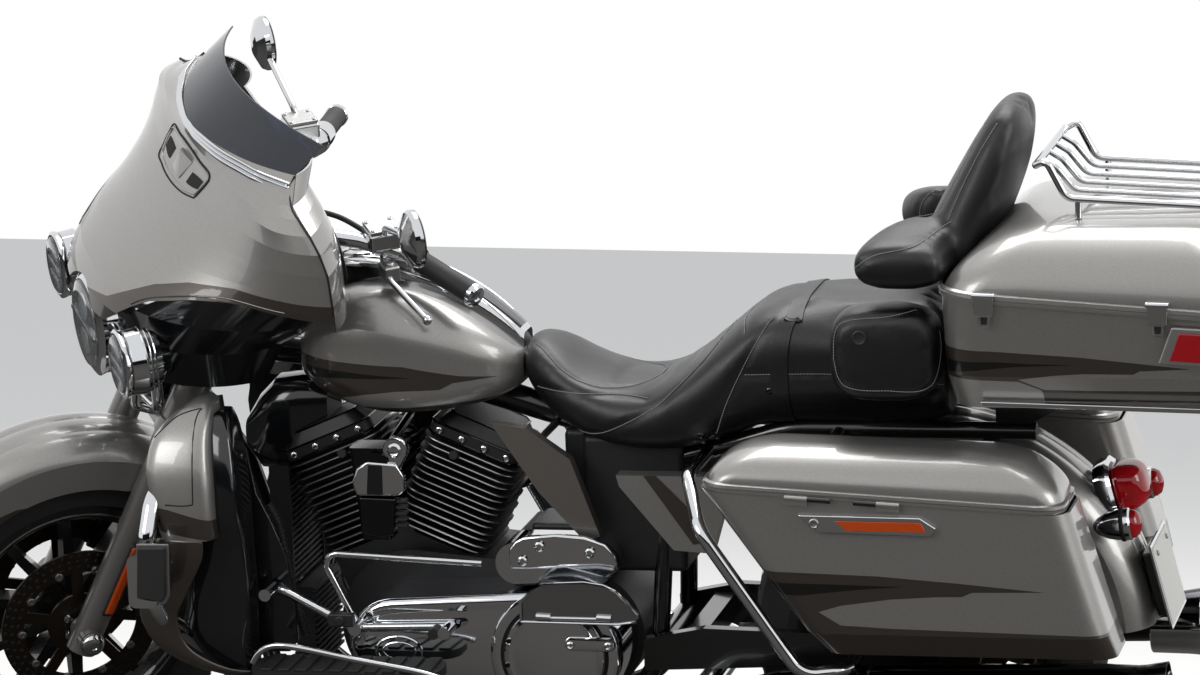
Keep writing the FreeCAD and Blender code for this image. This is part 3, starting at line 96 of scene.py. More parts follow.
# %% [markdown]
# ## Two sets of axes
# The machine is easiest to draw upright and straight ahead, in millimetres: x rearward from the front
# axle, y to the rider's right, z up. The joints say where the axles and the steering stem really are,
# and from them comes one matrix for the chassis and one for everything that turns with the bars.

# %% From upright millimetres to the leaning machine
JOINTS = {j["name"]: j for j in frame["joints"]}
RAKE = math.radians(26)
WHEELBASE, AXLE_Z = 1625, 320
SIDES = ((-1, "left"), (1, "right"))
STEER_TURN = math.radians(36)
across = Vector(JOINTS["rear_wheel_spin"]["axis"])
stem_up = Vector(JOINTS["steering"]["axis"])
stem_back = across.cross(stem_up)
along = stem_back * math.cos(RAKE) + stem_up * math.sin(RAKE)
upward = stem_up * math.cos(RAKE) - stem_back * math.sin(RAKE)
CHASSIS = Matrix((along, across, upward)).transposed().to_4x4() @ Matrix.Scale(0.001, 4)
rear_axle = Vector((WHEELBASE, 0, AXLE_Z))
CHASSIS.translation = Vector(JOINTS["rear_wheel_spin"]["pos_m"]) - CHASSIS.to_3x3() @ rear_axle
stem_foot = Matrix.Translation((-170, 0, 0))
STEERED = (CHASSIS @ stem_foot @ Matrix.Rotation(STEER_TURN, 4, (math.sin(RAKE), 0, math.cos(RAKE)))
           @ stem_foot.inverted())
PLACE = {body: CHASSIS for body in frame["bodies"]}
PLACE["steering"] = PLACE["front_wheel"] = STEERED
print("front axle at", [round(c, 3) for c in STEERED @ Vector((0, 0, AXLE_Z))])

# %% [markdown]
# ## Camera
# A long lens from the left, a little behind and above: the far side shows past the near one only
# slightly, and the front of the machine stands closer to square than the rear.

# %% Camera at the photograph's angle
LENS_MM, SENSOR_MM = 168.3, 36.0
CAMERA_SPOT = (3303.0, -9599.7, 2997.3)
CAMERA_LOOK, CAMERA_RIGHT = (-0.22485, 0.95076, -0.21329), (0.97434, 0.22166, -0.03909)
camera = bpy.data.objects.new("camera", bpy.data.cameras.new("camera"))
camera.data.lens, camera.data.sensor_width = LENS_MM, SENSOR_MM
camera.data.clip_end = 60
turn = CHASSIS.to_3x3() * 1000
look = turn @ Vector(CAMERA_LOOK)
right = turn @ Vector(CAMERA_RIGHT)
camera.matrix_world = Matrix((right, right.cross(look), -look)).transposed().to_4x4()
camera.location = CHASSIS @ Vector(CAMERA_SPOT)
bpy.context.scene.collection.objects.link(camera)
bpy.context.scene.camera = camera
print("camera", [round(c, 2) for c in camera.location])

# %% [markdown]
# ## Light
# Soft daylight: a large panel above, a fainter one from the camera's side, and a pale room all round,
# which is what paint and chrome reflect. The room is pure white only to the camera and in reflections,
# so the shading stays calm.

# %% Lamps, room and floor
def new_tree(owner):
    """An empty node tree on a material or the world."""
    owner.use_nodes = True
    owner.node_tree.nodes.clear()
    return owner.node_tree


def node(tree, kind, inputs=None, **settings):
    """Adds one node; each input is a value or another node's output."""
    made = tree.nodes.new(kind)
    for key, value in settings.items():
        setattr(made, key, value)
    for key, value in (inputs or {}).items():
        if isinstance(value, bpy.types.NodeSocket):
            tree.links.new(value, made.inputs[key])
        else:
            made.inputs[key].default_value = value
    return made


def linear(code):
    """An sRGB hex colour as the linear values that Blender works in."""
    parts = [int(code[i:i + 2], 16) / 255 for i in (1, 3, 5)]
    return [c / 12.92 if c < 0.04045 else ((c + 0.055) / 1.055) ** 2.4 for c in parts] + [1.0]


scene = bpy.context.scene
scene.view_settings.view_transform = "Standard"
world = bpy.data.worlds.new("room")
scene.world = world
tree = new_tree(world)
path = node(tree, "ShaderNodeLightPath")
seen = node(tree, "ShaderNodeMath",
            {0: path.outputs["Is Camera Ray"], 1: path.outputs["Is Transmission Ray"]}, operation="MAXIMUM")
seen = node(tree, "ShaderNodeMath", {0: seen.outputs[0], 1: path.outputs["Is Glossy Ray"]},
            operation="MAXIMUM")
fill = node(tree, "ShaderNodeBackground", {"Color": linear("#dfe5ec"), "Strength": 0.42})
white = node(tree, "ShaderNodeBackground", {"Color": (1, 1, 1, 1), "Strength": 1.0})
mixed = node(tree, "ShaderNodeMixShader", {0: seen.outputs[0], 1: fill.outputs[0], 2: white.outputs[0]})
node(tree, "ShaderNodeOutputWorld", {"Surface": mixed.outputs[0]})

LAMPS = {   # place, size and power, aimed at the machine's middle
    "sky_panel": ((0.6, 1.2, 5.2), (4.5, 3.0), 210),
    "left_panel": ((-3.2, -4.6, 2.6), (2.6, 2.2), 95),
    "rear_panel": ((4.6, -1.2, 2.4), (1.6, 2.4), 60),
}
for name, (place, size, power) in LAMPS.items():
    lamp = bpy.data.objects.new(name, bpy.data.lights.new(name, "AREA"))
    lamp.data.shape = "RECTANGLE"
    lamp.data.size, lamp.data.size_y = size
    lamp.data.energy = power
    lamp.location = place
    lamp.rotation_euler = (Vector((0, 0, 0.6)) - Vector(place)).to_track_quat("-Z", "Y").to_euler()
    scene.collection.objects.link(lamp)

bpy.ops.mesh.primitive_plane_add(size=60)
floor = bpy.context.object
floor.name = "floor"
floor_paint = bpy.data.materials.new("pale_studio_floor")
tree = new_tree(floor_paint)
path = node(tree, "ShaderNodeLightPath")
matt = node(tree, "ShaderNodeBsdfDiffuse", {"Color": linear("#d8d6d2")})
glow = node(tree, "ShaderNodeEmission", {"Color": (1, 1, 1, 1), "Strength": 0.35})
both = node(tree, "ShaderNodeAddShader", {0: matt.outputs[0], 1: glow.outputs[0]})
paving = node(tree, "ShaderNodeBsdfDiffuse", {"Color": linear("#5d5a56")})    # what chrome mirrors
mixed = node(tree, "ShaderNodeMixShader",
             {0: path.outputs["Is Glossy Ray"], 1: matt.outputs[0], 2: paving.outputs[0]})
mixed = node(tree, "ShaderNodeMixShader",
             {0: path.outputs["Is Camera Ray"], 1: mixed.outputs[0], 2: both.outputs[0]})
node(tree, "ShaderNodeOutputMaterial", {"Surface": mixed.outputs[0]})
floor.data.materials.append(floor_paint)
bpy.ops.mesh.primitive_plane_add(size=1)
card = bpy.context.object      # chrome needs something dark to mirror: a low card that only reflections see
card.visible_camera = card.visible_diffuse = card.visible_shadow = card.visible_transmission = False
card.name = "dark_card"
card.scale = (9, 1.25, 1)
card.location = (0.5, -5.2, 0.63)
card.rotation_euler = (math.radians(90), 0, 0)
card_paint = bpy.data.materials.new("dark_card_cloth")
tree = new_tree(card_paint)
matt = node(tree, "ShaderNodeBsdfDiffuse", {"Color": linear("#1a1a1c")})
node(tree, "ShaderNodeOutputMaterial", {"Surface": matt.outputs[0]})
card.data.materials.append(card_paint)
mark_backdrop(floor, card)
print(len(LAMPS), "lamps")

# %% [markdown]
# ## Paint
# The body is a metallic silver base coat under clear lacquer. Aluminium flakes in the base give it a
# wide soft sheen, and the lacquer on top gives the sharp reflections. Brown and black tapering bands
# are sprayed over it and end in points. Each band's edges are lines drawn in millimetres along the
# machine, and a curve node holds each line, so that the edge stays crisp on any mesh.

# %% Materials: one function for the shader, one for the machine's own axes
def shaded(name, color, metallic=0.0, roughness=0.5, **sockets):
    """A new material with its Principled shader; sockets are named with _ for a space."""
    material = bpy.data.materials.new(name)
    tree = new_tree(material)
    values = {"Base Color": linear(color), "Metallic": metallic, "Roughness": roughness}
    values.update({key.replace("_", " "): value for key, value in sockets.items()})
    shader = node(tree, "ShaderNodeBsdfPrincipled", values)
    node(tree, "ShaderNodeOutputMaterial", {"Surface": shader.outputs[0]})
    return material, tree, shader


def machine_axes(tree, place):
    """The point in upright millimetres, whatever the lean, as separate x, y and z."""
    spot, turned, size = place.decompose()
    point = node(tree, "ShaderNodeTexCoord")
    upright = node(tree, "ShaderNodeMapping",
                   {"Vector": point.outputs["Object"], "Location": spot, "Rotation": turned.to_euler(),
                    "Scale": size}, vector_type="TEXTURE")
    return node(tree, "ShaderNodeSeparateXYZ", {0: upright.outputs[0]}), upright.outputs[0]


def noise_at(tree, spacing_mm, detail=2.0, vector=None):
    """Noise whose blotches are this far apart, read in metres on the piece."""
    vector = vector or node(tree, "ShaderNodeTexCoord").outputs["Object"]
    return node(tree, "ShaderNodeTexNoise",
                {"Vector": vector, "Scale": 1000 / spacing_mm, "Detail": detail})


def vary(tree, socket, factor, low, high):
    """Drives a shader's input between two values by a 0-1 factor."""
    spread = node(tree, "ShaderNodeMapRange", {"Value": factor, "To Min": low, "To Max": high})
    tree.links.new(spread.outputs[0], socket)


def bumped(tree, shader, height, depth_mm, strength=1.0):
    """Raises the surface by a height pattern."""
    bump = node(tree, "ShaderNodeBump",
                {"Height": height, "Distance": depth_mm / 1000, "Strength": strength})
    tree.links.new(bump.outputs[0], shader.inputs["Normal"])


print("shader functions ready")

# %% Band edges
SILVER, BROWN, BLACK = "#94928f", "#46403b", "#121111"


def under_line(tree, axes, points, corner, size, sideways=False):
    """1 where the surface lies under a line of (x, z) points; sideways reads |y| for x."""
    side = axes.outputs["Y" if sideways else "X"]
    across = node(tree, "ShaderNodeMath", {0: side}, operation="ABSOLUTE" if sideways else "ADD")
    if not sideways:
        across.inputs[1].default_value = 0.0
    shares = [node(tree, "ShaderNodeMapRange",
                   {"Value": value, "From Min": start, "From Max": start + span})
              for value, start, span in zip((across.outputs[0], axes.outputs["Z"]), corner, size)]
    line = node(tree, "ShaderNodeFloatCurve", {"Value": shares[0].outputs[0]})
    knots = line.mapping.curves[0].points
    spots = [[(p - c) / s for p, c, s in zip(point, corner, size)] for point in points]
    for spot in spots[1:-1]:
        knots.new(*spot)
    knots[0].location, knots[-1].location = spots[0], spots[-1]
    for knot in knots:
        knot.handle_type = "VECTOR"
    line.mapping.update()
    return node(tree, "ShaderNodeMath", {0: shares[1].outputs[0], 1: line.outputs[0]},
                operation="LESS_THAN").outputs[0]


def but_not(tree, a, b):
    """1 inside a and outside b."""
    taken = node(tree, "ShaderNodeMath", {0: a, 1: b}, operation="SUBTRACT", use_clamp=True)
    return taken.outputs[0]


def sprayed(tree, under, over, mask):
    """One colour over another where the mask is 1."""
    mix = tree.nodes.new("ShaderNodeMix")
    mix.data_type = "RGBA"
    for place, value in ((0, mask), (6, under), (7, over)):
        if isinstance(value, bpy.types.NodeSocket):
            tree.links.new(value, mix.inputs[place])
        else:
            mix.inputs[place].default_value = value
    return mix.outputs[2]


BANDS = {   # per panel: frame corner and size, then the lines, all (x, z) in upright millimetres
    "bag": dict(corner=(1200, 340), size=(860, 460),
                top=((1200, 534), (1454, 529), (1605, 525), (1744, 515), (1904, 501), (2060, 501)),
                tongue_top=((1200, 340), (1500, 340), (1501, 459), (1540, 471), (1627, 484), (1709, 490),
                            (1752, 491), (1769, 499), (1904, 502), (2060, 502)),
                tongue_low=((1200, 459), (1501, 459), (1539, 436), (1626, 432), (1991, 425), (2060, 425)),
                black_top=((1200, 512), (1512, 509), (1651, 507), (2060, 507)),
                black_low=((1200, 484), (1470, 488), (1570, 500), (1651, 507), (2060, 507))),
    "tank": dict(corner=(480, 690), size=(460, 330),
                 top=((480, 840), (564, 833), (709, 825), (807, 804), (877, 795), (940, 795)),
                 tongue_top=((480, 690), (590, 690), (591, 764), (636, 773), (695, 780), (773, 781),
                             (796, 792), (843, 795), (877, 796), (940, 796)),
                 tongue_low=((480, 764), (591, 764), (623, 748), (709, 747), (805, 753), (926, 762),
                             (940, 763)),
                 black_top=((480, 820), (601, 814), (726, 804), (940, 804)),
                 black_low=((480, 796), (600, 802), (726, 804), (940, 804))),
    "trunk": dict(corner=(1680, 770), size=(600, 380),
                  top=((1680, 899), (1794, 896), (1945, 887), (2143, 867), (2280, 867)),
                  tongue_top=((1680, 770), (1837, 770), (1838, 845), (1896, 853), (1952, 857), (2037, 857),
                              (2048, 863), (2143, 868), (2280, 868)),
                  tongue_low=((1680, 845), (1838, 845), (1882, 826), (1951, 825), (2129, 826), (2280, 826)),
                  black_top=((1680, 874), (1793, 877), (1862, 874), (1938, 873), (2280, 873)),
                  black_low=((1680, 848), (1758, 860), (1828, 868), (1938, 873), (2280, 873)),
                  foot=((1680, 846), (1838, 841), (1879, 824), (1880, 804), (2280, 804))),
    "fairing": dict(corner=(0, 900), size=(480, 220), sideways=True,
                    top=((0, 985), (106, 1003), (187, 1052), (240, 1071), (315, 1081), (386, 1078),
                         (480, 1070))),
    "fender": dict(corner=(-420, 300), size=(840, 480),
                   top=((-420, 470), (-300, 540), (-106, 592), (5, 588), (100, 586), (420, 575)),
                   foot=((-420, 440), (-300, 515), (-110, 571), (92, 540), (420, 520)),
                   crown=((-420, 560), (-260, 640), (-129, 693), (-85, 714), (-33, 724), (14, 729), (60, 780),
                          (420, 780))),
    "lower": dict(corner=(240, 240), size=(260, 600),
                  top=((240, 630), (269, 624), (290, 620), (331, 613), (404, 592), (500, 570)),
                  foot=((240, 590), (329, 570), (406, 555), (500, 540))),
}


def silver_paint(name, place=CHASSIS, band=None, color=SILVER):
    """Metallic base coat with its bands, under lacquer."""
    material, tree, shader = shaded(name, color, metallic=0.72, roughness=0.36, Coat_Weight=1.0,
                                    Coat_Roughness=0.04)
    axes, upright = machine_axes(tree, place)
    # the flakes are drawn 1.5 mm wide, coarser than real ones, so that they show
    flakes = node(tree, "ShaderNodeTexVoronoi", {"Vector": upright, "Scale": 1 / 1.5})
    base = node(tree, "ShaderNodeRGB")
    base.outputs[0].default_value = linear(color)
    tint = base.outputs[0]
    if band:
        edges = dict(BANDS[band])
        panel = edges.pop("corner"), edges.pop("size"), edges.pop("sideways", False)
        lines = {key: under_line(tree, axes, points, *panel) for key, points in edges.items()}
        brown = lines["top"]
        if "tongue_top" in lines:
            brown = but_not(tree, brown, but_not(tree, lines["tongue_top"], lines["tongue_low"]))
        if "foot" in lines:
            brown = but_not(tree, brown, lines["foot"])
        tint = sprayed(tree, tint, linear(BROWN), brown)
        if "crown" in lines:     # above this line the band's colour again
            tint = sprayed(tree, linear(BROWN), tint, lines["crown"])
        if "black_top" in lines:
            tint = sprayed(tree, tint, linear(BLACK), but_not(tree, lines["black_top"], lines["black_low"]))
    glint = node(tree, "ShaderNodeMapRange",
                 {"Value": node(tree, "ShaderNodeSeparateColor", {0: flakes.outputs["Color"]}).outputs[0],
                  "To Min": 0.93, "To Max": 1.07})
    bright = node(tree, "ShaderNodeHueSaturation", {"Value": glint.outputs[0], "Color": tint})
    tree.links.new(bright.outputs[0], shader.inputs["Base Color"])
    orange_peel = noise_at(tree, 9.0)     # lacquer is never quite flat
    bumped(tree, shader, orange_peel.outputs[0], 0.02, 0.35)
    return material


PAINT = {"plain": silver_paint("silver_metallic_lacquer"),
         "steered": silver_paint("silver_lacquer_front", STEERED),
         "bag": silver_paint("silver_lacquer_bag_bands", band="bag"),
         "tank": silver_paint("silver_lacquer_tank_bands", band="tank"),
         "trunk": silver_paint("silver_lacquer_trunk_bands", band="trunk"),
         "fairing": silver_paint("silver_lacquer_fairing_band", STEERED, "fairing"),
         "fender": silver_paint("silver_lacquer_fender_bands", STEERED, "fender"),
         "lower": silver_paint("silver_lacquer_lower_band", band="lower")}
print(len(PAINT), "paints")

# %% [markdown]
# ## Metals
# Chrome plate is almost a mirror with a faint blue cast, and shows faint wiping marks. Cast aluminium
# legs are painted or polished, brake discs are stainless steel that heat and dust turn brown.

# %% Chrome, aluminium, steel
def chrome_plate(name, color="#d3d5d8", roughness=0.045):
    """Almost a mirror, with faint wiping marks."""
    material, tree, shader = shaded(name, color, metallic=1.0, roughness=roughness)
    wiping = noise_at(tree, 60.0, 4.0)
    vary(tree, shader.inputs["Roughness"], wiping.outputs[0], roughness * 0.6, roughness * 2.2)
    return material


def cast_metal(name, color, roughness, grain_mm=1.6, metallic=1.0, depth_mm=0.12, **sockets):
    """A cast surface: fine pits and a slightly uneven sheen."""
    material, tree, shader = shaded(name, color, metallic=metallic, roughness=roughness, **sockets)
    grain = noise_at(tree, grain_mm, 3.0)
    vary(tree, shader.inputs["Roughness"], grain.outputs[0], roughness * 0.75, roughness * 1.3)
    bumped(tree, shader, grain.outputs[0], depth_mm, 0.5)
    return material


CHROME = chrome_plate("chrome_plate")
DARK_CHROME = chrome_plate("black_chrome", "#3c3d40", 0.09)
SATIN = cast_metal("satin_cast_aluminium", "#a9a9a8", 0.34)
FORK_LEG = cast_metal("grey_painted_fork_leg", "#6d6b68", 0.32, metallic=0.55, depth_mm=0.03,
                      Coat_Weight=0.6)
CRINKLE = cast_metal("black_crinkle_powder_coat", "#1d1d1f", 0.46, grain_mm=2.4, metallic=0.0,
                     depth_mm=0.35)
FRAME_BLACK = cast_metal("gloss_black_powder_coat", "#121213", 0.22, grain_mm=5.0, metallic=0.0,
                         depth_mm=0.04, Coat_Weight=0.5)
DISC = cast_metal("heat_browned_brake_steel", "#544b44", 0.34, grain_mm=0.9)
RIM = cast_metal("black_machined_rim", "#2b2a2a", 0.28, metallic=0.6, depth_mm=0.03, Coat_Weight=0.6)
print(len(bpy.data.materials), "materials so far")

# %% [markdown]
# ## Rubber, leather and plastics
# Tyre rubber is dull with a grey bloom of dust. The seat is black leather-grain vinyl: small cells with
# fine creases, satin rather than shiny. The fairing's chin and inner panels are moulded ABS.

# %% Soft and moulded finishes
def grained(name, color, roughness, grain_mm, depth_mm, sheen=0.0, **sockets):
    """Leather-like cells with creases between them."""
    material, tree, shader = shaded(name, color, roughness=roughness, Sheen_Weight=sheen, **sockets)
    point = node(tree, "ShaderNodeTexCoord").outputs["Object"]
    cells = node(tree, "ShaderNodeTexVoronoi", {"Vector": point, "Scale": 1000 / grain_mm},
                 feature="DISTANCE_TO_EDGE")
    crease = node(tree, "ShaderNodeMapRange", {"Value": cells.outputs[0], "From Max": 0.35})
    broad = noise_at(tree, 70.0, 3.0)
    vary(tree, shader.inputs["Roughness"], broad.outputs[0], roughness * 0.8, roughness * 1.25)
    bumped(tree, shader, crease.outputs[0], depth_mm, 0.55)
    return material


LEATHER = grained("black_leather_grain_vinyl", "#0d0d0f", 0.4, 3.2, 0.25)
TYRE = grained("tyre_rubber", "#151515", 0.7, 5.0, 0.1, sheen=0.1)
PAD = grained("moulded_pad_rubber", "#161616", 0.6, 4.0, 0.15)
ABS = cast_metal("gloss_black_moulded_plastic", "#0f1012", 0.12, grain_mm=14.0, metallic=0.0, depth_mm=0.03,
                 Coat_Weight=0.4)
MATT_ABS = grained("textured_black_plastic", "#19191a", 0.5, 2.6, 0.12)


def lens(name, color, roughness=0.04, through=0.75, **sockets):
    """Clear or dyed polycarbonate."""
    return shaded(name, color, roughness=roughness, Transmission_Weight=through, IOR=1.58, **sockets)[0]


RED_LENS = lens("red_polycarbonate", "#b3121c", through=0.35)
AMBER_LENS = lens("amber_reflector", "#c4480f", through=0.2)
CLEAR_LENS = lens("clear_polycarbonate", "#f4f6f8", through=0.95)
SCREEN = lens("tinted_acrylic_screen", "#1b2a44", through=0.75)
MIRROR_GLASS = shaded("mirror_glass", "#e3e6e8", metallic=1.0, roughness=0.01)[0]
print(len(bpy.data.materials), "materials")

# %% [markdown]
# ## Dressing the CAD parts
# The record gives each part a slot, and each slot a finish. A few parts get their own.

# %% Finish of every CAD part
FINISH = {"silver_paint": PAINT["plain"], "black_paint": FRAME_BLACK,
          "dark_paint": silver_paint("brown_lacquer", color=BROWN), "engine_black": CRINKLE,
          "chrome": CHROME, "cast_aluminium": RIM, "disc_steel": DISC, "tyre_rubber": TYRE,
          "black_plastic": ABS, "tinted_screen": SCREEN, "black_leather": LEATHER, "lamp_lens": RED_LENS,
          "pad_rubber": PAD}
OWN_FINISH = {"fuel_tank": PAINT["tank"], "trunk_body": PAINT["trunk"], "bag_left": PAINT["bag"],
              "bag_right": PAINT["bag"], "outer_fairing": PAINT["fairing"],
              "inner_fairing": PAINT["fairing"], "front_fender": PAINT["fender"],
              "lower_fairings": PAINT["lower"], "fork": FORK_LEG, "luggage_carrier": FRAME_BLACK,
              "mid_deflectors": silver_paint("dark_silver_lacquer", color="#77726d"),
              "mufflers": DARK_CHROME, "horn_cover": DARK_CHROME}
slot_of = {part["node"]: part["material_slot"] for part in frame["record"]["subparts"]}
for name, part in frame["nodes"].items():
    part.data.materials.clear()
    part.data.materials.append(OWN_FINISH.get(name, FINISH[slot_of[name]]))
print(len(frame["nodes"]), "CAD parts dressed")

# %% [markdown]
# ## Making pieces
# Every piece is drawn in upright millimetres, like the CAD model, and its body's matrix then puts its
# points where the leaning machine has them. So its object stays at the origin, unturned, and rides on
# the body. These few builders make all of them: a smooth line, a skin over rows of points, a tube, a
# turned form and a flat plate.

# %% Builders for lines and surfaces
def smooth_line(points, steps=8, closed=False):
    """Points along a Catmull-Rom line through the given ones."""
    p = [Vector(q) for q in points]
    ends = (lambda i: p[i % len(p)]) if closed else (lambda i: p[min(max(i, 0), len(p) - 1)])
    out = []
    for i in range(len(p) if closed else len(p) - 1):
        a, b, c, d = (ends(i + k) for k in (-1, 0, 1, 2))
        for s in range(steps):
            t = s / steps
            out.append(0.5 * (2 * b + (c - a) * t + (2 * a - 5 * b + 4 * c - d) * t * t
                              + (3 * b - 3 * c + d - a) * t * t * t))
    return out if closed else out + [p[-1]]


def skin(rows, around=False, looped=False):
    """Faces over rows of points; around joins a row's two ends, looped the last row to the first."""
    wide = len(rows[0])
    verts = [tuple(v) for row in rows for v in row]
    faces = []
    for i in range(len(rows) if looped else len(rows) - 1):
        below, above = i * wide, (i + 1) % len(rows) * wide
        for j in range(wide if around else wide - 1):
            k = (j + 1) % wide
            faces.append((below + j, below + k, above + k, above + j))
    return verts, faces


def tube(points, radius, sides=12, caps=True):
    """A round bar along points; radius is a number or one for each point."""
    pts = [Vector(p) for p in points]
    radii = radius if hasattr(radius, "__len__") else [radius] * len(pts)
    ways = [(pts[min(i + 1, len(pts) - 1)] - pts[max(i - 1, 0)]).normalized() for i in range(len(pts))]
    out = ways[0].orthogonal().normalized()
    rows = []
    for p, way, r in zip(pts, ways, radii):
        out = (out - way * out.dot(way)).normalized()
        other = way.cross(out)
        rows.append([p + (out * math.cos(a) + other * math.sin(a)) * r
                     for a in (2 * math.pi * k / sides for k in range(sides))])
    verts, faces = skin(rows, around=True)
    if caps:
        faces += [tuple(range(sides))[::-1], tuple(range(len(verts) - sides, len(verts)))]
    return verts, faces


def turned(profile, centre, axis, sides=48):
    """A form turned about an axis; profile lists (along the axis, radius), and radius 0 closes an end."""
    axis = Vector(axis).normalized()
    out = axis.orthogonal().normalized()
    other = axis.cross(out)
    rows = [[Vector(centre) + axis * a + (out * math.cos(t) + other * math.sin(t)) * max(r, 0.01)
             for t in (2 * math.pi * k / sides for k in range(sides))] for a, r in profile]
    return skin(rows, around=True)


def plate(outline, thick):
    """A flat closed outline made thick by that vector."""
    count = len(outline)
    verts = [tuple(p) for p in outline] + [tuple(Vector(p) + Vector(thick)) for p in outline]
    faces = [tuple(range(count))[::-1], tuple(range(count, 2 * count))]
    faces += [(i, (i + 1) % count, (i + 1) % count + count, i + count) for i in range(count)]
    return verts, faces


def block(low, high):
    """A box between two corners."""
    (a, b, c), (d, e, f) = low, high
    return plate([(a, b, c), (d, b, c), (d, e, c), (a, e, c)], (0, 0, f - c))


def join(*parts):
    """Several (vertices, faces) as one."""
    verts, faces = [], []
    for more, theirs in parts:
        faces += [tuple(i + len(verts) for i in face) for face in theirs]
        verts += list(more)
    return verts, faces


def on_side(part, side):
    """A part drawn on the left, or with side 1 its mirror image on the right."""
    verts, faces = part
    return part if side < 0 else ([(x, -y, z) for x, y, z in verts], [face[::-1] for face in faces])


def mirrored(part):
    """A part and its mirror image on the other side."""
    return join(part, on_side(part, 1))


print("lines and surfaces can be drawn")

# %% From points to a piece
SHARP = math.radians(38)


def piece(name, part, material, body="chassis", bevel=0.0, thick=0.0, smooth=0, replaces=()):
    """Puts a part in place, shades it, and hangs it on its body; bevel and thick are millimetres."""
    verts, faces = part
    mesh = bpy.data.meshes.new(name)
    mesh.from_pydata([PLACE[body] @ Vector(v) for v in verts], [], faces)
    bm = bmesh.new()
    bm.from_mesh(mesh)
    bmesh.ops.remove_doubles(bm, verts=bm.verts, dist=2e-5)
    bmesh.ops.recalc_face_normals(bm, faces=bm.faces)
    for face in bm.faces:
        face.smooth = True
    for edge in bm.edges:
        edge.smooth = smooth > 0 or len(edge.link_faces) != 2 or edge.calc_face_angle(0) < SHARP
    bm.to_mesh(mesh)
    bm.free()
    mesh.materials.append(material)
    made = bpy.data.objects.new(name, mesh)
    scene.collection.objects.link(made)
    if thick:
        wall = made.modifiers.new("wall", "SOLIDIFY")
        wall.thickness, wall.offset = thick / 1000, -1
    if bevel:
        edge = made.modifiers.new("edge", "BEVEL")
        edge.width, edge.segments, edge.limit_method, edge.angle_limit = bevel / 1000, 2, "ANGLE", SHARP
        edge.harden_normals = True
    if smooth:
        finer = made.modifiers.new("smooth", "SUBSURF")
        finer.levels = finer.render_levels = smooth
    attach(made, body)
    if replaces:
        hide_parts(*replaces)
    return made


print("builders ready")

# %% [markdown]
# ## Repeats
# Screws, stitches and ribs repeat along a line. A Geometry Nodes group walks the line and sets one item
# at every step: its x axis follows the line, and its z axis follows a direction kept on each point.

# %% Geometry Nodes: an item at every step of a line
def repeat_group():
    """The node group: a line, a step and an item go in, and the items along the line come out."""
    group = bpy.data.node_groups.new("item_along_line", "GeometryNodeTree")
    face = group.interface
    face.new_socket("Line", in_out="INPUT", socket_type="NodeSocketGeometry")
    for label, kind in (("Step", "NodeSocketFloat"), ("Item", "NodeSocketObject"),
                        ("Finish", "NodeSocketMaterial")):
        face.new_socket(label, in_out="INPUT", socket_type=kind)
    face.new_socket("Items", in_out="OUTPUT", socket_type="NodeSocketGeometry")
    start = group.nodes.new("NodeGroupInput").outputs
    line = node(group, "GeometryNodeMeshToCurve", {"Mesh": start["Line"]})
    steps = node(group, "GeometryNodeResampleCurve", {"Curve": line.outputs[0], "Length": start["Step"]},
                 mode="LENGTH")
    outward = node(group, "GeometryNodeInputNamedAttribute", {"Name": "outward"}, data_type="FLOAT_VECTOR")
    tangent = node(group, "GeometryNodeInputTangent")
    turn = node(group, "FunctionNodeAlignRotationToVector", {"Vector": tangent.outputs[0]}, axis="X")
    turn = node(group, "FunctionNodeAlignRotationToVector",
                {"Rotation": turn.outputs[0], "Vector": outward.outputs["Attribute"]},
                axis="Z", pivot_axis="X")
    item = node(group, "GeometryNodeObjectInfo", {"Object": start["Item"]})
    spread = node(group, "GeometryNodeInstanceOnPoints",
                  {"Points": steps.outputs[0], "Instance": item.outputs["Geometry"],
                   "Rotation": turn.outputs[0]})
    real = node(group, "GeometryNodeRealizeInstances", {0: spread.outputs[0]})
    done = node(group, "GeometryNodeSetMaterial", {0: real.outputs[0], "Material": start["Finish"]})
    node(group, "NodeGroupOutput", {0: done.outputs[0]})
    return group


ALONG = repeat_group()
SOCKET = {item.name: item.identifier for item in ALONG.interface.items_tree if item.in_out == "INPUT"}


def repeated(name, lines, item, step, material, body="chassis"):
    """One item (drawn about 0, in millimetres) along each line of (point, outward) pairs."""
    turn = PLACE[body].to_3x3() * 1000
    verts, edges, outs = [], [], []
    for line in lines:
        edges += [(len(verts) + i, len(verts) + i + 1) for i in range(len(line) - 1)]
        verts += [PLACE[body] @ Vector(p) for p, _ in line]
        outs += [c for _, out in line for c in (turn @ Vector(out)).normalized()]
    mesh = bpy.data.meshes.new(name)
    mesh.from_pydata(verts, edges, [])
    mesh.attributes.new("outward", "FLOAT_VECTOR", "POINT").data.foreach_set("vector", outs)
    made = bpy.data.objects.new(name, mesh)
    scene.collection.objects.link(made)
    shape = bpy.data.meshes.new(name + "_item")
    shape.from_pydata([Vector(v) / 1000 for v in item[0]], [], item[1])
    shape.shade_smooth()
    item_object = bpy.data.objects.new(name + "_item", shape)
    scene.collection.objects.link(item_object)
    walk = made.modifiers.new("along", "NODES")
    walk.node_group = ALONG
    walk[SOCKET["Step"]] = step / 1000
    walk[SOCKET["Item"]] = item_object
    walk[SOCKET["Finish"]] = material
    bpy.context.view_layer.update()
    solid = bpy.data.meshes.new_from_object(made.evaluated_get(bpy.context.evaluated_depsgraph_get()))
    made.modifiers.clear()
    made.data = solid
    bpy.data.objects.remove(item_object)
    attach(made, body)
    return made


STITCH = tube([(-2.2, 0, 0), (-1.4, 0, 0.6), (1.4, 0, 0.6), (2.2, 0, 0)], [0.35, 0.75, 0.75, 0.35], sides=6)
print("repeats ready")

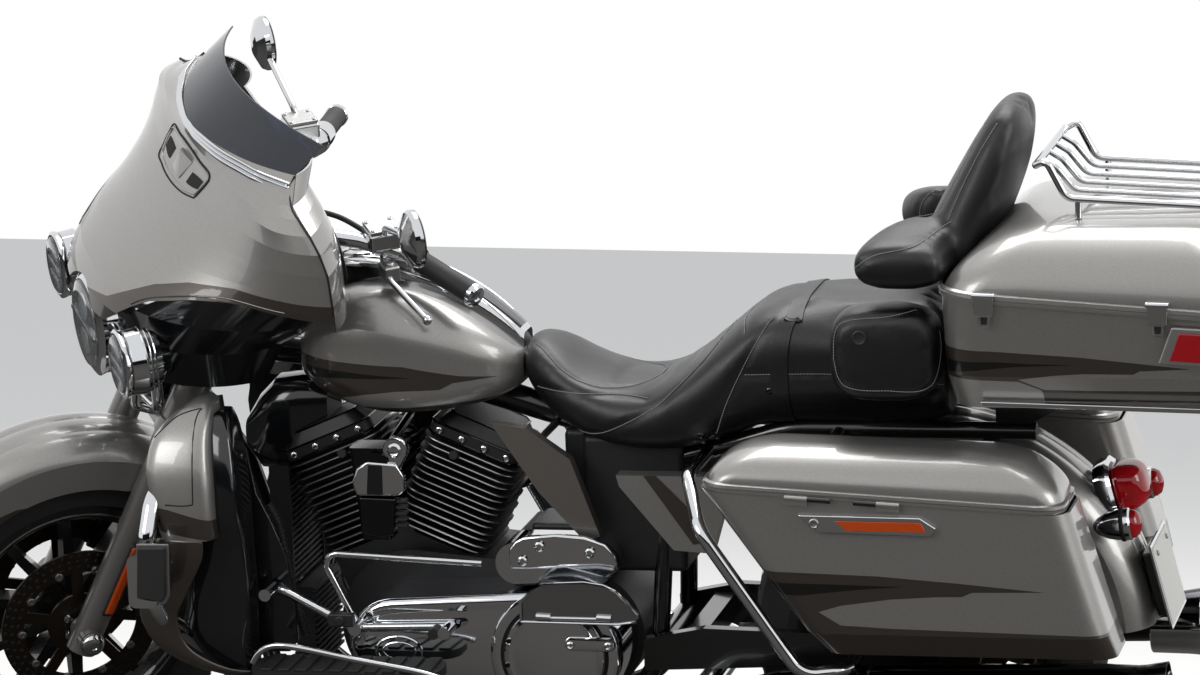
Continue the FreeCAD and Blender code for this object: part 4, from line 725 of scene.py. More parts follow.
# %% [markdown]
# ## Finding the surface
# Trim has to lie on the panels. A line is sent from each drawn point at a part, and where it first
# meets that part the piece gets its point, lifted off along the surface's own direction.

# %% Laying points on a part
def on_skin(part, points, toward, body="chassis", lift=0.0, both=False):
    """Drawn points moved along a direction onto a part; with both, (point, outward) pairs."""
    part = frame["nodes"][part] if isinstance(part, str) else part
    into = part.matrix_world.inverted() @ PLACE[body]
    back = into.inverted()
    way = (into.to_3x3() @ Vector(toward)).normalized()
    laid, last = [], None
    for point in points:
        hit, spot, out, _ = part.ray_cast(into @ Vector(point), way)
        if hit:
            out = (back.to_3x3() @ out).normalized()
            out = -out if out.dot(Vector(toward)) > 0 else out
            last = (back @ spot + out * lift, out)
        if last:             # a line that misses the part keeps the last point found
            laid.append(last)
    return laid if both else [p for p, _ in laid]


def draped(part, low_line, high_line, toward, body="chassis", lift=0.8, rows=4, steps=6):
    """A skin between two drawn lines, laid on a part."""
    low, high = smooth_line(low_line, steps), smooth_line(high_line, steps)
    grid = [[a.lerp(b, i / (rows - 1)) for a, b in zip(low, high)] for i in range(rows)]
    return skin([on_skin(part, row, toward, body, lift) for row in grid])


def bead(part, line, toward, radius, body="chassis", lift=0.0, steps=6, sides=8, closed=False):
    """A round bead laid along a drawn line on a part."""
    return tube(on_skin(part, smooth_line(line, steps, closed), toward, body, lift), radius, sides)


# painted shade: one near-black finish for the gaps, slots, holes, grooves and pipe mouths below
GAP = shaded("shadowed_panel_gap", "#0a0a0a", roughness=0.8)[0]
LAMP_BLACK = shaded("black_lamp_bezel", "#0c0d0f", roughness=0.25)[0]
LED_WHITE = shaded("led_reflector", "#e9edf2", metallic=0.6, roughness=0.18)[0]
print("surfaces can be dressed")

# %% [markdown]
# ## Fairing
# A chrome strip of three half-round ribs runs along the top edge. Under it air slots open in a
# recess, on both sides of a silver fin, and a fine gap divides the outer panel from the inner. The slots,
# the recess's edge and the gap are near-black pieces: painted shade.

# %% Chrome strip
STRIP = [(398, -278, 1253), (360, -226, 1256), (343, -199, 1257), (308, -119, 1260), (290, -40, 1262)]
STRIP = STRIP + [(288, 0, 1262)] + [(x, -y, z) for x, y, z in STRIP[::-1]]
strip_line = smooth_line(STRIP, 6)
STRIP_WIDTH = 22
RIBS, ACROSS = 3, 18
outs, lifts = [], []
for i, spot in enumerate(strip_line):
    run = strip_line[min(i + 1, len(strip_line) - 1)] - strip_line[max(i - 1, 0)]
    out = Vector((-run.y, run.x, 0)).normalized()
    outs.append(out if out.x < 0 else -out)
    lifts.append([])
    for down in (2, STRIP_WIDTH):     # how far the panel or the screen's foot stands out, above and below
        hits = [on_skin(part, [spot + outs[-1] * 60 - Vector((0, 0, down))], -outs[-1], "steering")
                for part in ("outer_fairing", "windshield")]
        lifts[-1].append(min(max([0] + [(hit[0] - spot).dot(outs[-1]) for hit in hits if hit]), 30))
lifts = np.array(lifts)
lifts = np.stack([np.convolve(np.pad(column, 4, "edge"), np.ones(9) / 9, "valid") for column in lifts.T], 1)
rows = []
for spot, out, (above, below) in zip(strip_line, outs, lifts):
    lean = (out * (below - above) - Vector((0, 0, STRIP_WIDTH))).normalized()
    away = (out * STRIP_WIDTH + Vector((0, 0, below - above))).normalized()
    rows.append([spot + out * above + lean * (k / ACROSS * STRIP_WIDTH - 2)
                 + away * (1.0 + 3.2 * abs(math.sin(RIBS * math.pi * k / ACROSS)))
                 for k in range(ACROSS + 1)])
piece("fairing_strip", skin(rows), CHROME, "steering", thick=2.0)
print("strip through", len(rows), "sections")

# %% Vent and seams
vent_low = [(200, -106, 1166), (200, -60, 1160), (200, 0, 1158), (200, 60, 1160), (200, 106, 1166)]
vent_high = [(200, -116, 1208), (200, -60, 1214), (200, 0, 1216), (200, 60, 1214), (200, 116, 1208)]
edge = vent_low + vent_high[::-1] + vent_low[:1]
# the vent's edge and its two slots are near-black pieces: painted shade in the recess
piece("vent_edge", bead("outer_fairing", edge, (1, 0, 0), 1.6, "steering", lift=0.4), GAP, "steering")
lip = [(200, y * 0.95, z + (4 if z < 1180 else -4)) for _, y, z in edge]
piece("vent_lip", bead("outer_fairing", lip, (1, 0, 0), 2.6, "steering"), PAINT["fairing"], "steering")
for side, label in SIDES:
    slot_low = [(200, side * y, z) for y, z in ((99, 1178), (82, 1175), (64, 1173), (52, 1173))]
    slot_high = [(200, side * y, z) for y, z in ((103, 1193), (86, 1193), (68, 1192), (54, 1191))]
    piece("vent_slot_" + label, draped("outer_fairing", slot_low, slot_high, (1, 0, 0), "steering", 1.0),
          GAP, "steering")
tip = on_skin("outer_fairing", [(200, 0, 1206)], (1, 0, 0), "steering", 16)[0]
base = on_skin("outer_fairing", [(200, -34, 1200), (200, -22, 1168), (200, 22, 1168), (200, 34, 1200)],
               (1, 0, 0), "steering", 0.5)
fin = [tuple(p) for p in base] + [tuple(tip)]
piece("vent_fin", (fin, [(0, 1, 4), (1, 2, 4), (2, 3, 4), (3, 0, 4), (3, 2, 1, 0)]), PAINT["fairing"],
      "steering")
# where the outer panel meets the inner one: a near-black tube, painted shade in the gap
EDGE = [(398, 278, 1262), (385, 290, 1246), (375, 326, 1228), (377, 362, 1217), (384, 398, 1200),
        (394, 420, 1171), (403, 432, 1133), (407, 435, 1090), (409, 437, 1057)]
seam = tube(smooth_line([(x - 2, -y - 1.2, z) for x, y, z in EDGE], 5), 1.8, 8)
piece("fairing_seam", mirrored(seam), GAP, "steering")
arch = [(y, z) for y, z in ((172, 1013), (200, 1033), (261, 1053), (317, 1063), (394, 1057))]
piece("fairing_lip", mirrored(bead("outer_fairing", [(-200, -y, z) for y, z in arch], (1, 0, 0), 1.6,
                                   "steering")), ABS, "steering")
print("fairing dressed")

# %% [markdown]
# ## Lamps
# The main lamp has a chrome rim and a clear dome over a black carrier with two LED projectors. Each
# passing lamp is a chrome bowl whose black carrier shows three LED bars behind a clear lens.

# %% Headlamp and passing lamps
def facing(profile, centre, sides=48):
    """A turned form that faces ahead."""
    return turned(profile, centre, (-1, 0, 0), sides)


centre = Vector((84, 0, 900))
piece("headlamp_rim", facing([(-6, 90), (-2, 97), (6, 99.5), (9, 95), (15, 84), (16, 80)], centre, 64),
      CHROME, "steering", thick=1.5)
piece("headlamp_carrier", facing([(14, 82), (17.5, 60), (19.2, 30), (19.6, 0)], centre, 64), LAMP_BLACK,
      "steering")
bars = []
for z in (34, -34):
    bars.append(facing([(15, 27), (20, 25), (21.5, 18), (22, 0)], centre + Vector((0, 0, z)), 32))
for y in (-52, 52):
    bars.append(facing([(14, 17), (18, 16), (19, 10), (19.5, 0)], centre + Vector((0, y, 0)), 24))
piece("headlamp_projectors", join(*bars), LED_WHITE, "steering")
piece("headlamp_divider", block((62, -78, 895), (66, 78, 905)), CHROME, "steering", bevel=1.0)
piece("headlamp_lens", facing([(14, 84), (20, 78), (24.5, 58), (26.5, 30), (27, 0)], centre, 64),
      CLEAR_LENS, "steering", thick=1.0)
for side, label in SIDES:
    centre = Vector((80, side * 210, 918))
    piece("passing_rim_" + label, facing([(-4, 58), (0, 62), (7, 63), (10, 58), (11, 53)], centre), CHROME,
          "steering", thick=1.2)
    piece("passing_carrier_" + label, facing([(8.3, 54), (9.2, 30), (9.6, 0)], centre), LAMP_BLACK,
          "steering")
    slats = [block((66, centre.y - w, 918 + z - 6), (71, centre.y + w, 918 + z + 6))
             for z, w in ((-24, 30), (0, 40), (24, 30))]
    piece("passing_leds_" + label, join(*slats), LED_WHITE, "steering", bevel=1.5)
    piece("passing_lens_" + label, facing([(9, 56), (14.5, 48), (17.5, 25), (18.3, 0)], centre), CLEAR_LENS,
          "steering", thick=1.0)
    ribs = [facing([(-30 - k * 9, 61.2 - k * 3), (-31.5 - k * 9, 62.6 - k * 3.2),
                    (-33 - k * 9, 60.8 - k * 3.4)], centre) for k in range(3)]
    piece("passing_ribs_" + label, join(*ribs), CHROME, "steering")
print("lamps dressed")

# %% [markdown]
# ## Padded pieces
# Seat, side pads and backrest are foam under stretched vinyl. Each starts as a closed form slightly too
# small. Its sewn channels are held, and a cloth simulation with a little air pressure lets the rest
# swell between them, so that edges round off and the cover pulls in along every seam.

# %% Cloth under pressure
def loft(rows, lean):
    """A closed form from rows of (place along the axis, half width or low and high side, low, high)."""
    sections = []
    for a, (left, right), low, high, power in rows:
        ring = []
        for k in range(40):
            t = 2 * math.pi * k / 40
            c, s = math.cos(t), math.sin(t)
            u = (left + right) / 2 + (right - left) / 2 * math.copysign(abs(c) ** (2 / power), c)
            v = (low + high) / 2 + (high - low) / 2 * math.copysign(abs(s) ** (2 / power), s)
            ring.append(Vector((a, u, v) if lean == "x" else (u, a, v) if lean == "y" else (u, v, a)))
        sections.append(ring)
    verts, faces = skin(sections, around=True)
    return verts, faces + [tuple(range(40))[::-1], tuple(range(len(verts) - 40, len(verts)))]


def between(rows, steps):
    """Rows of numbers with smooth ones added between them."""
    table = np.array(rows, float)
    at = np.linspace(0, len(rows) - 1, (len(rows) - 1) * steps + 1)
    out = []
    for t in at:
        i = min(int(t), len(rows) - 2)
        f = t - i
        p = [table[min(max(i + k, 0), len(rows) - 1)] for k in (-1, 0, 1, 2)]
        out.append(0.5 * (2 * p[1] + (p[2] - p[0]) * f + (2 * p[0] - 5 * p[1] + 4 * p[2] - p[3]) * f * f
                          + (3 * p[1] - 3 * p[2] + p[3] - p[0]) * f ** 3))
    return out


SWELL_FRAMES = 20


def lofted(table, steps, power, lean, side=1):
    """A smooth loft through rows of (place, left, right, low, high); power says how square it is."""
    return loft([(side * r[0], (r[1], r[2]), r[3], r[4], power) for r in between(table, steps)], lean)


def nearest(spots, lines):
    """Each spot's distance in metres to the nearest point of the lines."""
    marks = np.array([tuple(p) for line in lines for p in line])
    return np.sqrt(((spots[:, None, :] - marks[None, :, :]) ** 2).sum(2)).min(1)


def cushion(name, part, body, replaces, seams=(), voxel=8.0, channel=4.0, reach=12.0, most=9.0, rounds=6):
    """Remeshes a closed form, sinks its seams, and lets cloth swell between them."""
    made = piece(name, part, LEATHER, body, replaces=replaces)
    grid = made.modifiers.new("even", "REMESH")
    grid.mode, grid.voxel_size, grid.use_smooth_shade = "VOXEL", voxel / 1000, True
    calm = made.modifiers.new("round", "SMOOTH")
    calm.factor, calm.iterations = 0.5, rounds
    bpy.context.view_layer.update()
    made.data = bpy.data.meshes.new_from_object(made.evaluated_get(bpy.context.evaluated_depsgraph_get()))
    made.modifiers.clear()
    lines = [[PLACE[body] @ p for p in on_skin(made, smooth_line(line, 10), toward, body)]
             for line, toward in seams]
    mesh = made.data
    spots = np.empty(len(mesh.vertices) * 3)
    mesh.vertices.foreach_get("co", spots)
    spots = spots.reshape(-1, 3)
    normals = np.array([v.normal[:] for v in mesh.vertices])
    held = np.zeros(len(spots))
    if lines:
        depth = np.clip(1 - nearest(spots, lines) * 1000 / reach, 0, 1)
        spots -= normals * (depth ** 1.5 * channel / 1000)[:, None]
        held = np.clip(depth * 2.2, 0, 1)
    mesh.vertices.foreach_set("co", spots.ravel())
    group = made.vertex_groups.new(name="sewn")
    for i in np.flatnonzero(held > 0):
        group.add([int(i)], float(held[i]), "REPLACE")
    cloth = made.modifiers.new("vinyl", "CLOTH")
    cloth.settings.quality = 5
    cloth.settings.mass = 0.4
    cloth.settings.tension_stiffness = cloth.settings.compression_stiffness = 25
    cloth.settings.bending_stiffness = 3
    cloth.settings.use_pressure = True
    cloth.settings.uniform_pressure_force = 4.0
    cloth.settings.effector_weights.gravity = 0
    cloth.settings.vertex_group_mass = "sewn"
    cloth.collision_settings.use_collision = False
    cloth.point_cache.frame_end = SWELL_FRAMES
    for frame_number in range(1, SWELL_FRAMES + 1):
        scene.frame_set(frame_number)
    swollen = made.evaluated_get(bpy.context.evaluated_depsgraph_get()).data
    after = np.empty(len(mesh.vertices) * 3)
    swollen.vertices.foreach_get("co", after)
    moved = after.reshape(-1, 3) - spots
    far = np.linalg.norm(moved, axis=1)
    moved *= (np.minimum(far, most / 1000) / np.maximum(far, 1e-9))[:, None]
    made.modifiers.clear()
    scene.frame_set(1)
    mesh.vertices.foreach_set("co", (spots + moved).ravel())
    print(name, len(mesh.vertices), "points, swelled by up to",
          round(float(min(far.max() * 1000, most)), 1), "mm")
    mesh.update()
    mesh.shade_smooth()
    mesh.materials.clear()
    mesh.materials.append(LEATHER)
    finer = made.modifiers.new("smooth", "SUBSURF")
    finer.levels = finer.render_levels = 1
    return made


THREAD = shaded("grey_waxed_thread", "#9a9793", roughness=0.7)[0]


def sewn(name, cover, seams, body, step=5.2):
    """Stitches along seams, laid on the finished cover."""
    lines = [on_skin(cover, smooth_line(line, 12), toward, body, 0.4, both=True) for line, toward in seams]
    return repeated(name, lines, STITCH, step, THREAD, body)


print("cushions ready")

# %% [markdown]
# ## Seat
# A narrow nose wraps the tank's tail, the rider sits in a dish, and the passenger higher behind. Piped
# seams run from the skirt up over the rider's bolster, and a flat strap crosses the passenger's part.

# %% Seat
def sides(line, y):
    """A line of (x, z) on the left side and its mirror image on the right, cast inwards."""
    return [([(x, side * y, z) for x, z in line], (0, -side, 0)) for side in (-1, 1)]


# x, half width, lowest and highest z, how square
SEAT_ROWS = [(903, 44, 800, 834, 2.2), (910, 72, 772, 849, 2.4), (932, 98, 742, 854, 2.6),
             (970, 126, 708, 840, 2.7), (1025, 154, 682, 806, 2.8), (1090, 173, 668, 782, 3.0),
             (1160, 180, 664, 788, 3.2), (1225, 181, 668, 824, 3.4), (1285, 178, 686, 876, 3.6),
             (1335, 175, 706, 914, 3.9), (1385, 174, 718, 928, 4.3), (1450, 174, 724, 929, 4.6),
             (1580, 174, 728, 928, 4.8), (1684, 172, 732, 926, 4.8), (1696, 162, 742, 916, 4.2)]
seat_rows = [(r[0], (-r[1], r[1]), r[2], r[3], r[4]) for r in between(SEAT_ROWS, 4)]
BOLSTER = [(990, 696), (1068, 707), (1160, 752), (1202, 786), (1254, 838), (1291, 886), (1322, 912)]
REAR_SEAM = [(1262, 700), (1276, 712), (1301, 773), (1335, 841), (1368, 898), (1380, 912)]
SKIRT = [(940, 776), (1004, 774), (1095, 770), (1150, 768)]
STRAP_FRONT = [(1381, 728), (1379, 828), (1386, 890), (1396, 914)]
STRAP_REAR = [(1412, 728), (1410, 829), (1417, 890), (1426, 914)]
LEVEL = [(1334, 818), (1374, 819), (1480, 821), (1574, 815), (1684, 804)]
seams = [s for line in (BOLSTER, REAR_SEAM, SKIRT, LEVEL) for s in sides(line, 260)]
TOP = (0, 0, -1)
seams += [([(1330, -150, 990), (1318, -80, 990), (1312, 0, 990), (1318, 80, 990), (1330, 150, 990)], TOP),
          ([(930, -60, 990), (990, -112, 990), (1060, -118, 990), (1130, -70, 990), (1150, 0, 990),
            (1130, 70, 990), (1060, 118, 990), (990, 112, 990), (930, 60, 990)], TOP)]
seat = cushion("seat_cover", loft(seat_rows, "x"), "chassis", ("seat",), seams, voxel=8.5)
sewn("seat_stitches", seat, seams, "chassis")
rows = []
for i in range(5):
    line = [Vector((a[0] + (b[0] - a[0]) * i / 4, -260, a[1] + (b[1] - a[1]) * i / 4))
            for a, b in zip(smooth_line([(x, z, 0) for x, z in STRAP_FRONT], 6),
                            smooth_line([(x, z, 0) for x, z in STRAP_REAR], 6))]
    low = on_skin(seat, line, (0, 1, 0), lift=3.0)
    x = line[-1].x
    over = on_skin(seat, [(x + 8, y, 990) for y in range(-150, 151, 20)], TOP, lift=3.0)
    far = on_skin(seat, [(p.x, 260, p.z) for p in line[::-1]], (0, -1, 0), lift=3.0)
    rows.append(low + over + far)
piece("seat_strap", skin(rows), LEATHER, thick=3.5, bevel=0.8)
snaps = [turned([(-1, 6), (2, 6), (3.4, 4), (3.8, 0)], p, (0, -1, 0), 20)
         for p in on_skin(seat, [(1248, -260, 706), (1270, -260, 706), (1248, -260, 692), (1270, -260, 692),
                                 (1376, -260, 790)], (0, 1, 0))]
piece("seat_snaps", join(*snaps), DARK_CHROME)
print("seat done")

# %% [markdown]
# ## Side pads and backrest
# A pad on each side closes the passenger's place. The backrest is one cushion with two arm pads, and a
# welt runs round its edge.

# %% Side pads and backrest
# y, front x, rear x, lowest and highest z
POD_ROWS = [(180, 1506, 1693, 800, 950), (200, 1500, 1694, 794, 958), (240, 1500, 1694, 792, 960),
            (270, 1506, 1690, 798, 955), (285, 1522, 1680, 812, 940)]
for side, label in SIDES:
    face = [(1512, 872), (1524, 932), (1600, 946), (1682, 944), (1684, 830), (1600, 818), (1530, 826),
            (1512, 872)]
    seam = [([(x, side * 400, z) for x, z in face], (0, -side, 0))]
    pod = cushion("side_pad_" + label, lofted(POD_ROWS, 4, 3.4, "y", side), "chassis", ("seat_pods",), seam,
                  voxel=7.0)
    sewn("side_pad_stitches_" + label, pod, seam, "chassis")
    spot = on_skin(pod, [(1560, side * 400, 912)], (0, -side, 0))[0]
    piece("side_pad_button_" + label,
          turned([(-2, 13), (1.5, 13), (2.5, 11), (1.2, 8), (2, 0)], spot, (0, side, 0), 24), MATT_ABS)
# z, front x, rear x, half width
PAD_ROWS = [(984, 1646, 1716, 150), (996, 1636, 1736, 172), (1040, 1640, 1762, 176),
            (1100, 1664, 1788, 168), (1165, 1700, 1812, 156), (1220, 1732, 1822, 142),
            (1256, 1754, 1824, 124), (1276, 1772, 1816, 98), (1284, 1784, 1806, 60)]
pad = loft([(r[0], (r[1], r[2]), -r[3], r[3], 2.9) for r in between(PAD_ROWS, 4)], "z")
# y, front x, rear x, lowest and highest z
ARM_ROWS = [(120, 1600, 1716, 1000, 1098), (160, 1570, 1716, 994, 1092), (210, 1552, 1712, 990, 1082),
            (260, 1548, 1706, 992, 1074), (280, 1556, 1696, 1004, 1064), (287, 1576, 1680, 1018, 1050)]
arms = [lofted(ARM_ROWS, 4, 2.8, "y", side) for side in (-1, 1)]
welt = [([(1500, y, z) for y, z in ((-126, 1040), (-124, 1120), (-108, 1190), (-84, 1236), (0, 1252),
                                    (84, 1236), (108, 1190), (124, 1120), (126, 1040))], (1, 0, 0))]
welt += [([(x, side * 400, z) for x, z in ((1556, 1034), (1590, 1056), (1660, 1070), (1704, 1092))],
          (0, -side, 0)) for side in (-1, 1)]
welt += [([(x, side * 400, z) for x, z in ((1700, 1096), (1722, 1146), (1752, 1206), (1782, 1256))],
          (0, -side, 0)) for side in (-1, 1)]
back = cushion("backrest_cover", join(pad, *arms), "trunk_lid", ("backrest",), welt, voxel=8.0, rounds=14)
sewn("backrest_stitches", back, welt, "trunk_lid")
print("side pads and backrest done")

# %% [markdown]
# ## Luggage
# The lids of trunk and saddlebags are pressed shells with soft shoulders. Each is drawn as rounded
# outlines, one above the other, and its lowest outline follows the falling seam. A raised rim runs round
# every lid. Latches and reflectors sit on the boxes' outer faces.

# %% Lid shells
def outline(x0, x1, y0, y1, r, z, per=7):
    """A rounded rectangle seen from above, as a ring of points."""
    ring = []
    for cx, cy, start in ((x1 - r, y1 - r, 0), (x0 + r, y1 - r, 90), (x0 + r, y0 + r, 180),
                          (x1 - r, y0 + r, 270)):
        turns = [math.radians(start + 90 * k / per) for k in range(per + 1)]
        ring += [Vector((cx + r * math.cos(t), cy + r * math.sin(t), z)) for t in turns]
    return ring


def lid_shell(levels, seam_x, fall, ease):
    """Rings from the seam up, sheared along its fall, and a cap; ease is how much of it the top loses."""
    low, high = levels[0][5], levels[-1][5]
    rings = []
    for x0, x1, y0, y1, r, z in between(levels, 3):
        share = (z - low) / (high - low)
        ring = outline(x0, x1, y0, y1, r, z)
        slope = math.tan(math.radians(fall)) * (1 - ease * share)
        rings.append([Vector((p.x, p.y, p.z - (p.x - seam_x) * slope)) for p in ring])
    verts, faces = skin(rings, around=True)
    wide = len(rings[0])
    return verts, faces + [tuple(range(len(verts) - wide, len(verts)))]


def rim_band(x0, x1, y0, y1, r, z, fall, tall, out, at=0.0):
    """The raised band round a lid's edge."""
    rings, slope = [], math.tan(math.radians(fall))
    for up, grow in ((0, -2), (0, out), (tall * 0.4, out + 0.8), (tall * 0.5, out - 1.2),
                     (tall * 0.6, out + 0.8), (tall, out), (tall + 3, -2)):
        ring = outline(x0 - grow, x1 + grow, y0 - grow, y1 + grow, r + grow, z + up + at)
        rings.append([Vector((p.x, p.y, p.z - (p.x - x0) * slope)) for p in ring])
    return skin(rings, around=True)


def barrels(origin, fall, spans, radius=5.0):
    """A hinge's barrels, as stretches of one falling line."""
    way = Vector((math.cos(math.radians(fall)), 0, -math.sin(math.radians(fall))))
    return join(*[tube([Vector(origin) + way * a, Vector(origin) + way * b], radius, 16) for a, b in spans])


# front x, rear x, left y, right y, corner radius, z
TRUNK_LID = [(1700, 2245, -325, 325, 80, 988), (1704, 2244, -325, 325, 80, 1002),
             (1716, 2240, -321, 321, 80, 1022), (1738, 2230, -310, 310, 80, 1044),
             (1768, 2214, -285, 285, 80, 1070), (1800, 2196, -250, 250, 80, 1092),
             (1826, 2184, -218, 218, 80, 1102), (1856, 2160, -170, 170, 80, 1107)]
piece("trunk_lid_shell", lid_shell(TRUNK_LID, 1700, 4.0, 1.0), PAINT["trunk"], "trunk_lid", thick=4.0,
      smooth=1, replaces=("trunk_lid",))
piece("trunk_lid_rim", rim_band(1700, 2245, -325, 325, 80, 988.5, 4.0, 15, 4.0), PAINT["plain"],
      "trunk_lid")
piece("trunk_lid_hinge", barrels((1700, 332, 988), 4.0, ((190.5, 230), (270, 309.5))), FRAME_BLACK,
      "trunk_lid")
# front x, rear x, left y, right y, corner radius, z
BAG_LID = [(1302, 1926, -432, -250, 44, 672), (1304, 1924, -432, -250, 46, 688),
           (1314, 1914, -428, -251, 50, 704), (1334, 1892, -413, -254, 56, 722),
           (1362, 1862, -388, -262, 56, 736), (1392, 1826, -364, -276, 40, 742),
           (1420, 1800, -346, -296, 22, 744)]
for side, label in SIDES:
    body = "bag_lid_" + label
    shell = lid_shell(BAG_LID, 1300, 3.2, 0.55)
    rim = rim_band(1302, 1926, -432, -250, 44, 672.3, 3.2, 13, 3.5)
    hinge = barrels((1300, -439, 672), 3.2, ((190.5, 230), (270, 309.5)))
    piece(body + "_shell", on_side(shell, side), PAINT["plain"], body, thick=3.5, smooth=1,
          replaces=(body,))
    piece(body + "_rim", on_side(rim, side), PAINT["plain"], body)
    piece(body + "_hinge", on_side(hinge, side), FRAME_BLACK, body)
print("lids done")

# %% Latches, reflectors and side lamps
def outer(points, y, thick):
    """A plate on the left side from its (x, z) outline, growing outwards."""
    return plate([(x, y, z) for x, z in points], (0, -thick, 0))


latch = outer([(1470, 634), (1684, 632), (1712, 614), (1704, 598), (1506, 602)], -431, 9)
amber = outer([(1536, 625), (1686, 624), (1695, 607), (1556, 608)], -438, 5)
lock = turned([(-2, 9), (3, 9), (4.5, 7), (3.2, 4), (3.4, 0)], (1500, -438, 619), (0, -1, 0), 24)
piece("bag_latches", mirrored(latch), CHROME, bevel=3.0)
piece("bag_locks", mirrored(lock), SATIN)
piece("bag_reflectors", mirrored(amber), AMBER_LENS, bevel=1.2)
# the trunk latch's cap, keeper and slot: (x, z) corners from its front end, y, how far it stands out
LATCH = ((((0, 1003), (37, 1002), (35, 962), (3, 962)), -324, 13),
         (((8, 964), (30, 964), (28, 942), (10, 942)), -324, 8),
         (((13, 960), (25, 960), (24, 948), (14, 948)), -331, 3))
for at, label in ((1767, "front"), (2065, "rear")):
    fall = (at - 1767) * 0.045
    top, keep, slot = (outer([(at + x, z - fall) for x, z in corners], y, thick)
                       for corners, y, thick in LATCH)
    pin = tube([(at - 1, -333, 998 - fall), (at + 38, -333, 997 - fall)], 5, 16)
    piece("trunk_latch_" + label, join(top, keep), CHROME, bevel=2.5)
    piece("trunk_latch_pin_" + label, pin, CHROME)
    # the slot is a thin near-black plate: painted shade
    piece("trunk_latch_slot_" + label, slot, GAP)
bezel = outer([(2082, 880), (2106, 946), (2222, 940), (2222, 874)], -322, 10)
lamp = outer([(2102, 887), (2120, 936), (2214, 931), (2214, 881)], -328, 7)
piece("trunk_lamp_bezels", mirrored(bezel), PAINT["plain"], bevel=4.0)
piece("trunk_lamps", mirrored(lamp), RED_LENS, bevel=3.0)
piece("trunk_sill", mirrored(outer([(1771, 806), (2160, 798), (2160, 789), (1774, 797)], -291, 14)), CHROME,
      bevel=2.0)
print("luggage dressed")

# %% [markdown]
# ## Tail
# The tail lamp is a deep red lens in a chrome bezel on the fender. Two bullet signals hang on a chrome
# bar beneath it, and a blank plate stands in a chrome frame between the saddlebags.

# %% Tail lamp, signals and plate
FENDER_X, FENDER_R = 1633, 405


def on_fender(angle, out, y=0.0):
    """A point this far outside the rear fender, at an angle over its centre."""
    a = math.radians(angle)
    return Vector((FENDER_X + (FENDER_R + out) * math.cos(a), y, AXLE_Z + (FENDER_R + out) * math.sin(a)))


def set_on(part, origin, axis, up):
    """A part drawn with z along the axis and x along up, moved there."""
    axis = Vector(axis).normalized()
    up = (Vector(up) - axis * Vector(up).dot(axis)).normalized()
    side = axis.cross(up)
    verts, faces = part
    return [Vector(origin) + up * v[0] + side * v[1] + axis * v[2] for v in verts], faces


a = math.radians(40)
tail_out, tail_up = Vector((math.cos(a), 0, math.sin(a))), Vector((-math.sin(a), 0, math.cos(a)))
tail_axis = (tail_out + Vector((0.35, 0, -0.35))).normalized()
spot = on_fender(40, -8)
bezel = loft([(z, (-h, h), -w, w, 3.4)
              for z, h, w in ((0, 52, 66), (10, 55, 68), (22, 54, 67), (28, 48, 61))], "z")
glass = loft([(z, (-h, h), -w, w, 3.2)
              for z, h, w in ((24, 46, 60), (40, 45, 59), (66, 40, 53), (80, 31, 43), (86, 16, 24))], "z")
bulb = loft([(z, (-h, h), -w, w, 2.6) for z, h, w in ((26, 34, 44), (34, 30, 38), (38, 10, 14))], "z")
piece("tail_bezel", set_on(bezel, spot, tail_axis, tail_up), CHROME, replaces=("rear_lamps",))
piece("tail_reflector", set_on(bulb, spot, tail_axis, tail_up), LED_WHITE)
piece("tail_lens", set_on(glass, spot, tail_axis, tail_up), RED_LENS, smooth=1)
for side, label in SIDES:
    spot = on_fender(33, 22, side * 150)
    shell = turned([(-52, 0), (-50, 7), (-42, 15), (-26, 23), (-8, 27.5), (6, 29), (14, 29), (17, 26)],
                   spot, (1, 0, 0.12), 40)
    ring = turned([(-2, 29), (0, 30.5), (4, 30.5), (6, 29)], spot, (1, 0, 0.12), 40)
    cap = turned([(15, 26), (22, 25), (30, 20), (34, 10), (35, 0)], spot, (1, 0, 0.12), 40)
    piece("signal_shell_" + label, shell, CHROME)
    # the ring between shell and lens is near-black: painted shade in the joint
    piece("signal_ring_" + label, ring, GAP)
    piece("signal_lens_" + label, cap, RED_LENS)
bar = [on_fender(33, 22, -150), on_fender(34, 10, -90), on_fender(34, 8, 0), on_fender(34, 10, 90),
       on_fender(33, 22, 150)]
piece("signal_bar", tube(smooth_line(bar, 6), 9, 16), CHROME)
a = math.radians(14)
plate_out, plate_up = Vector((math.cos(a), 0, math.sin(a))), Vector((-math.sin(a), 0, math.cos(a)))
foot = on_fender(14, 22)


def framed(half_high, half_wide, back, front):
    """A rectangle round the plate's middle, between two depths."""
    return set_on(plate([(-half_high, -half_wide, back), (half_high, -half_wide, back),
                         (half_high, half_wide, back), (-half_high, half_wide, back)],
                        (0, 0, front - back)), foot, plate_out, plate_up)


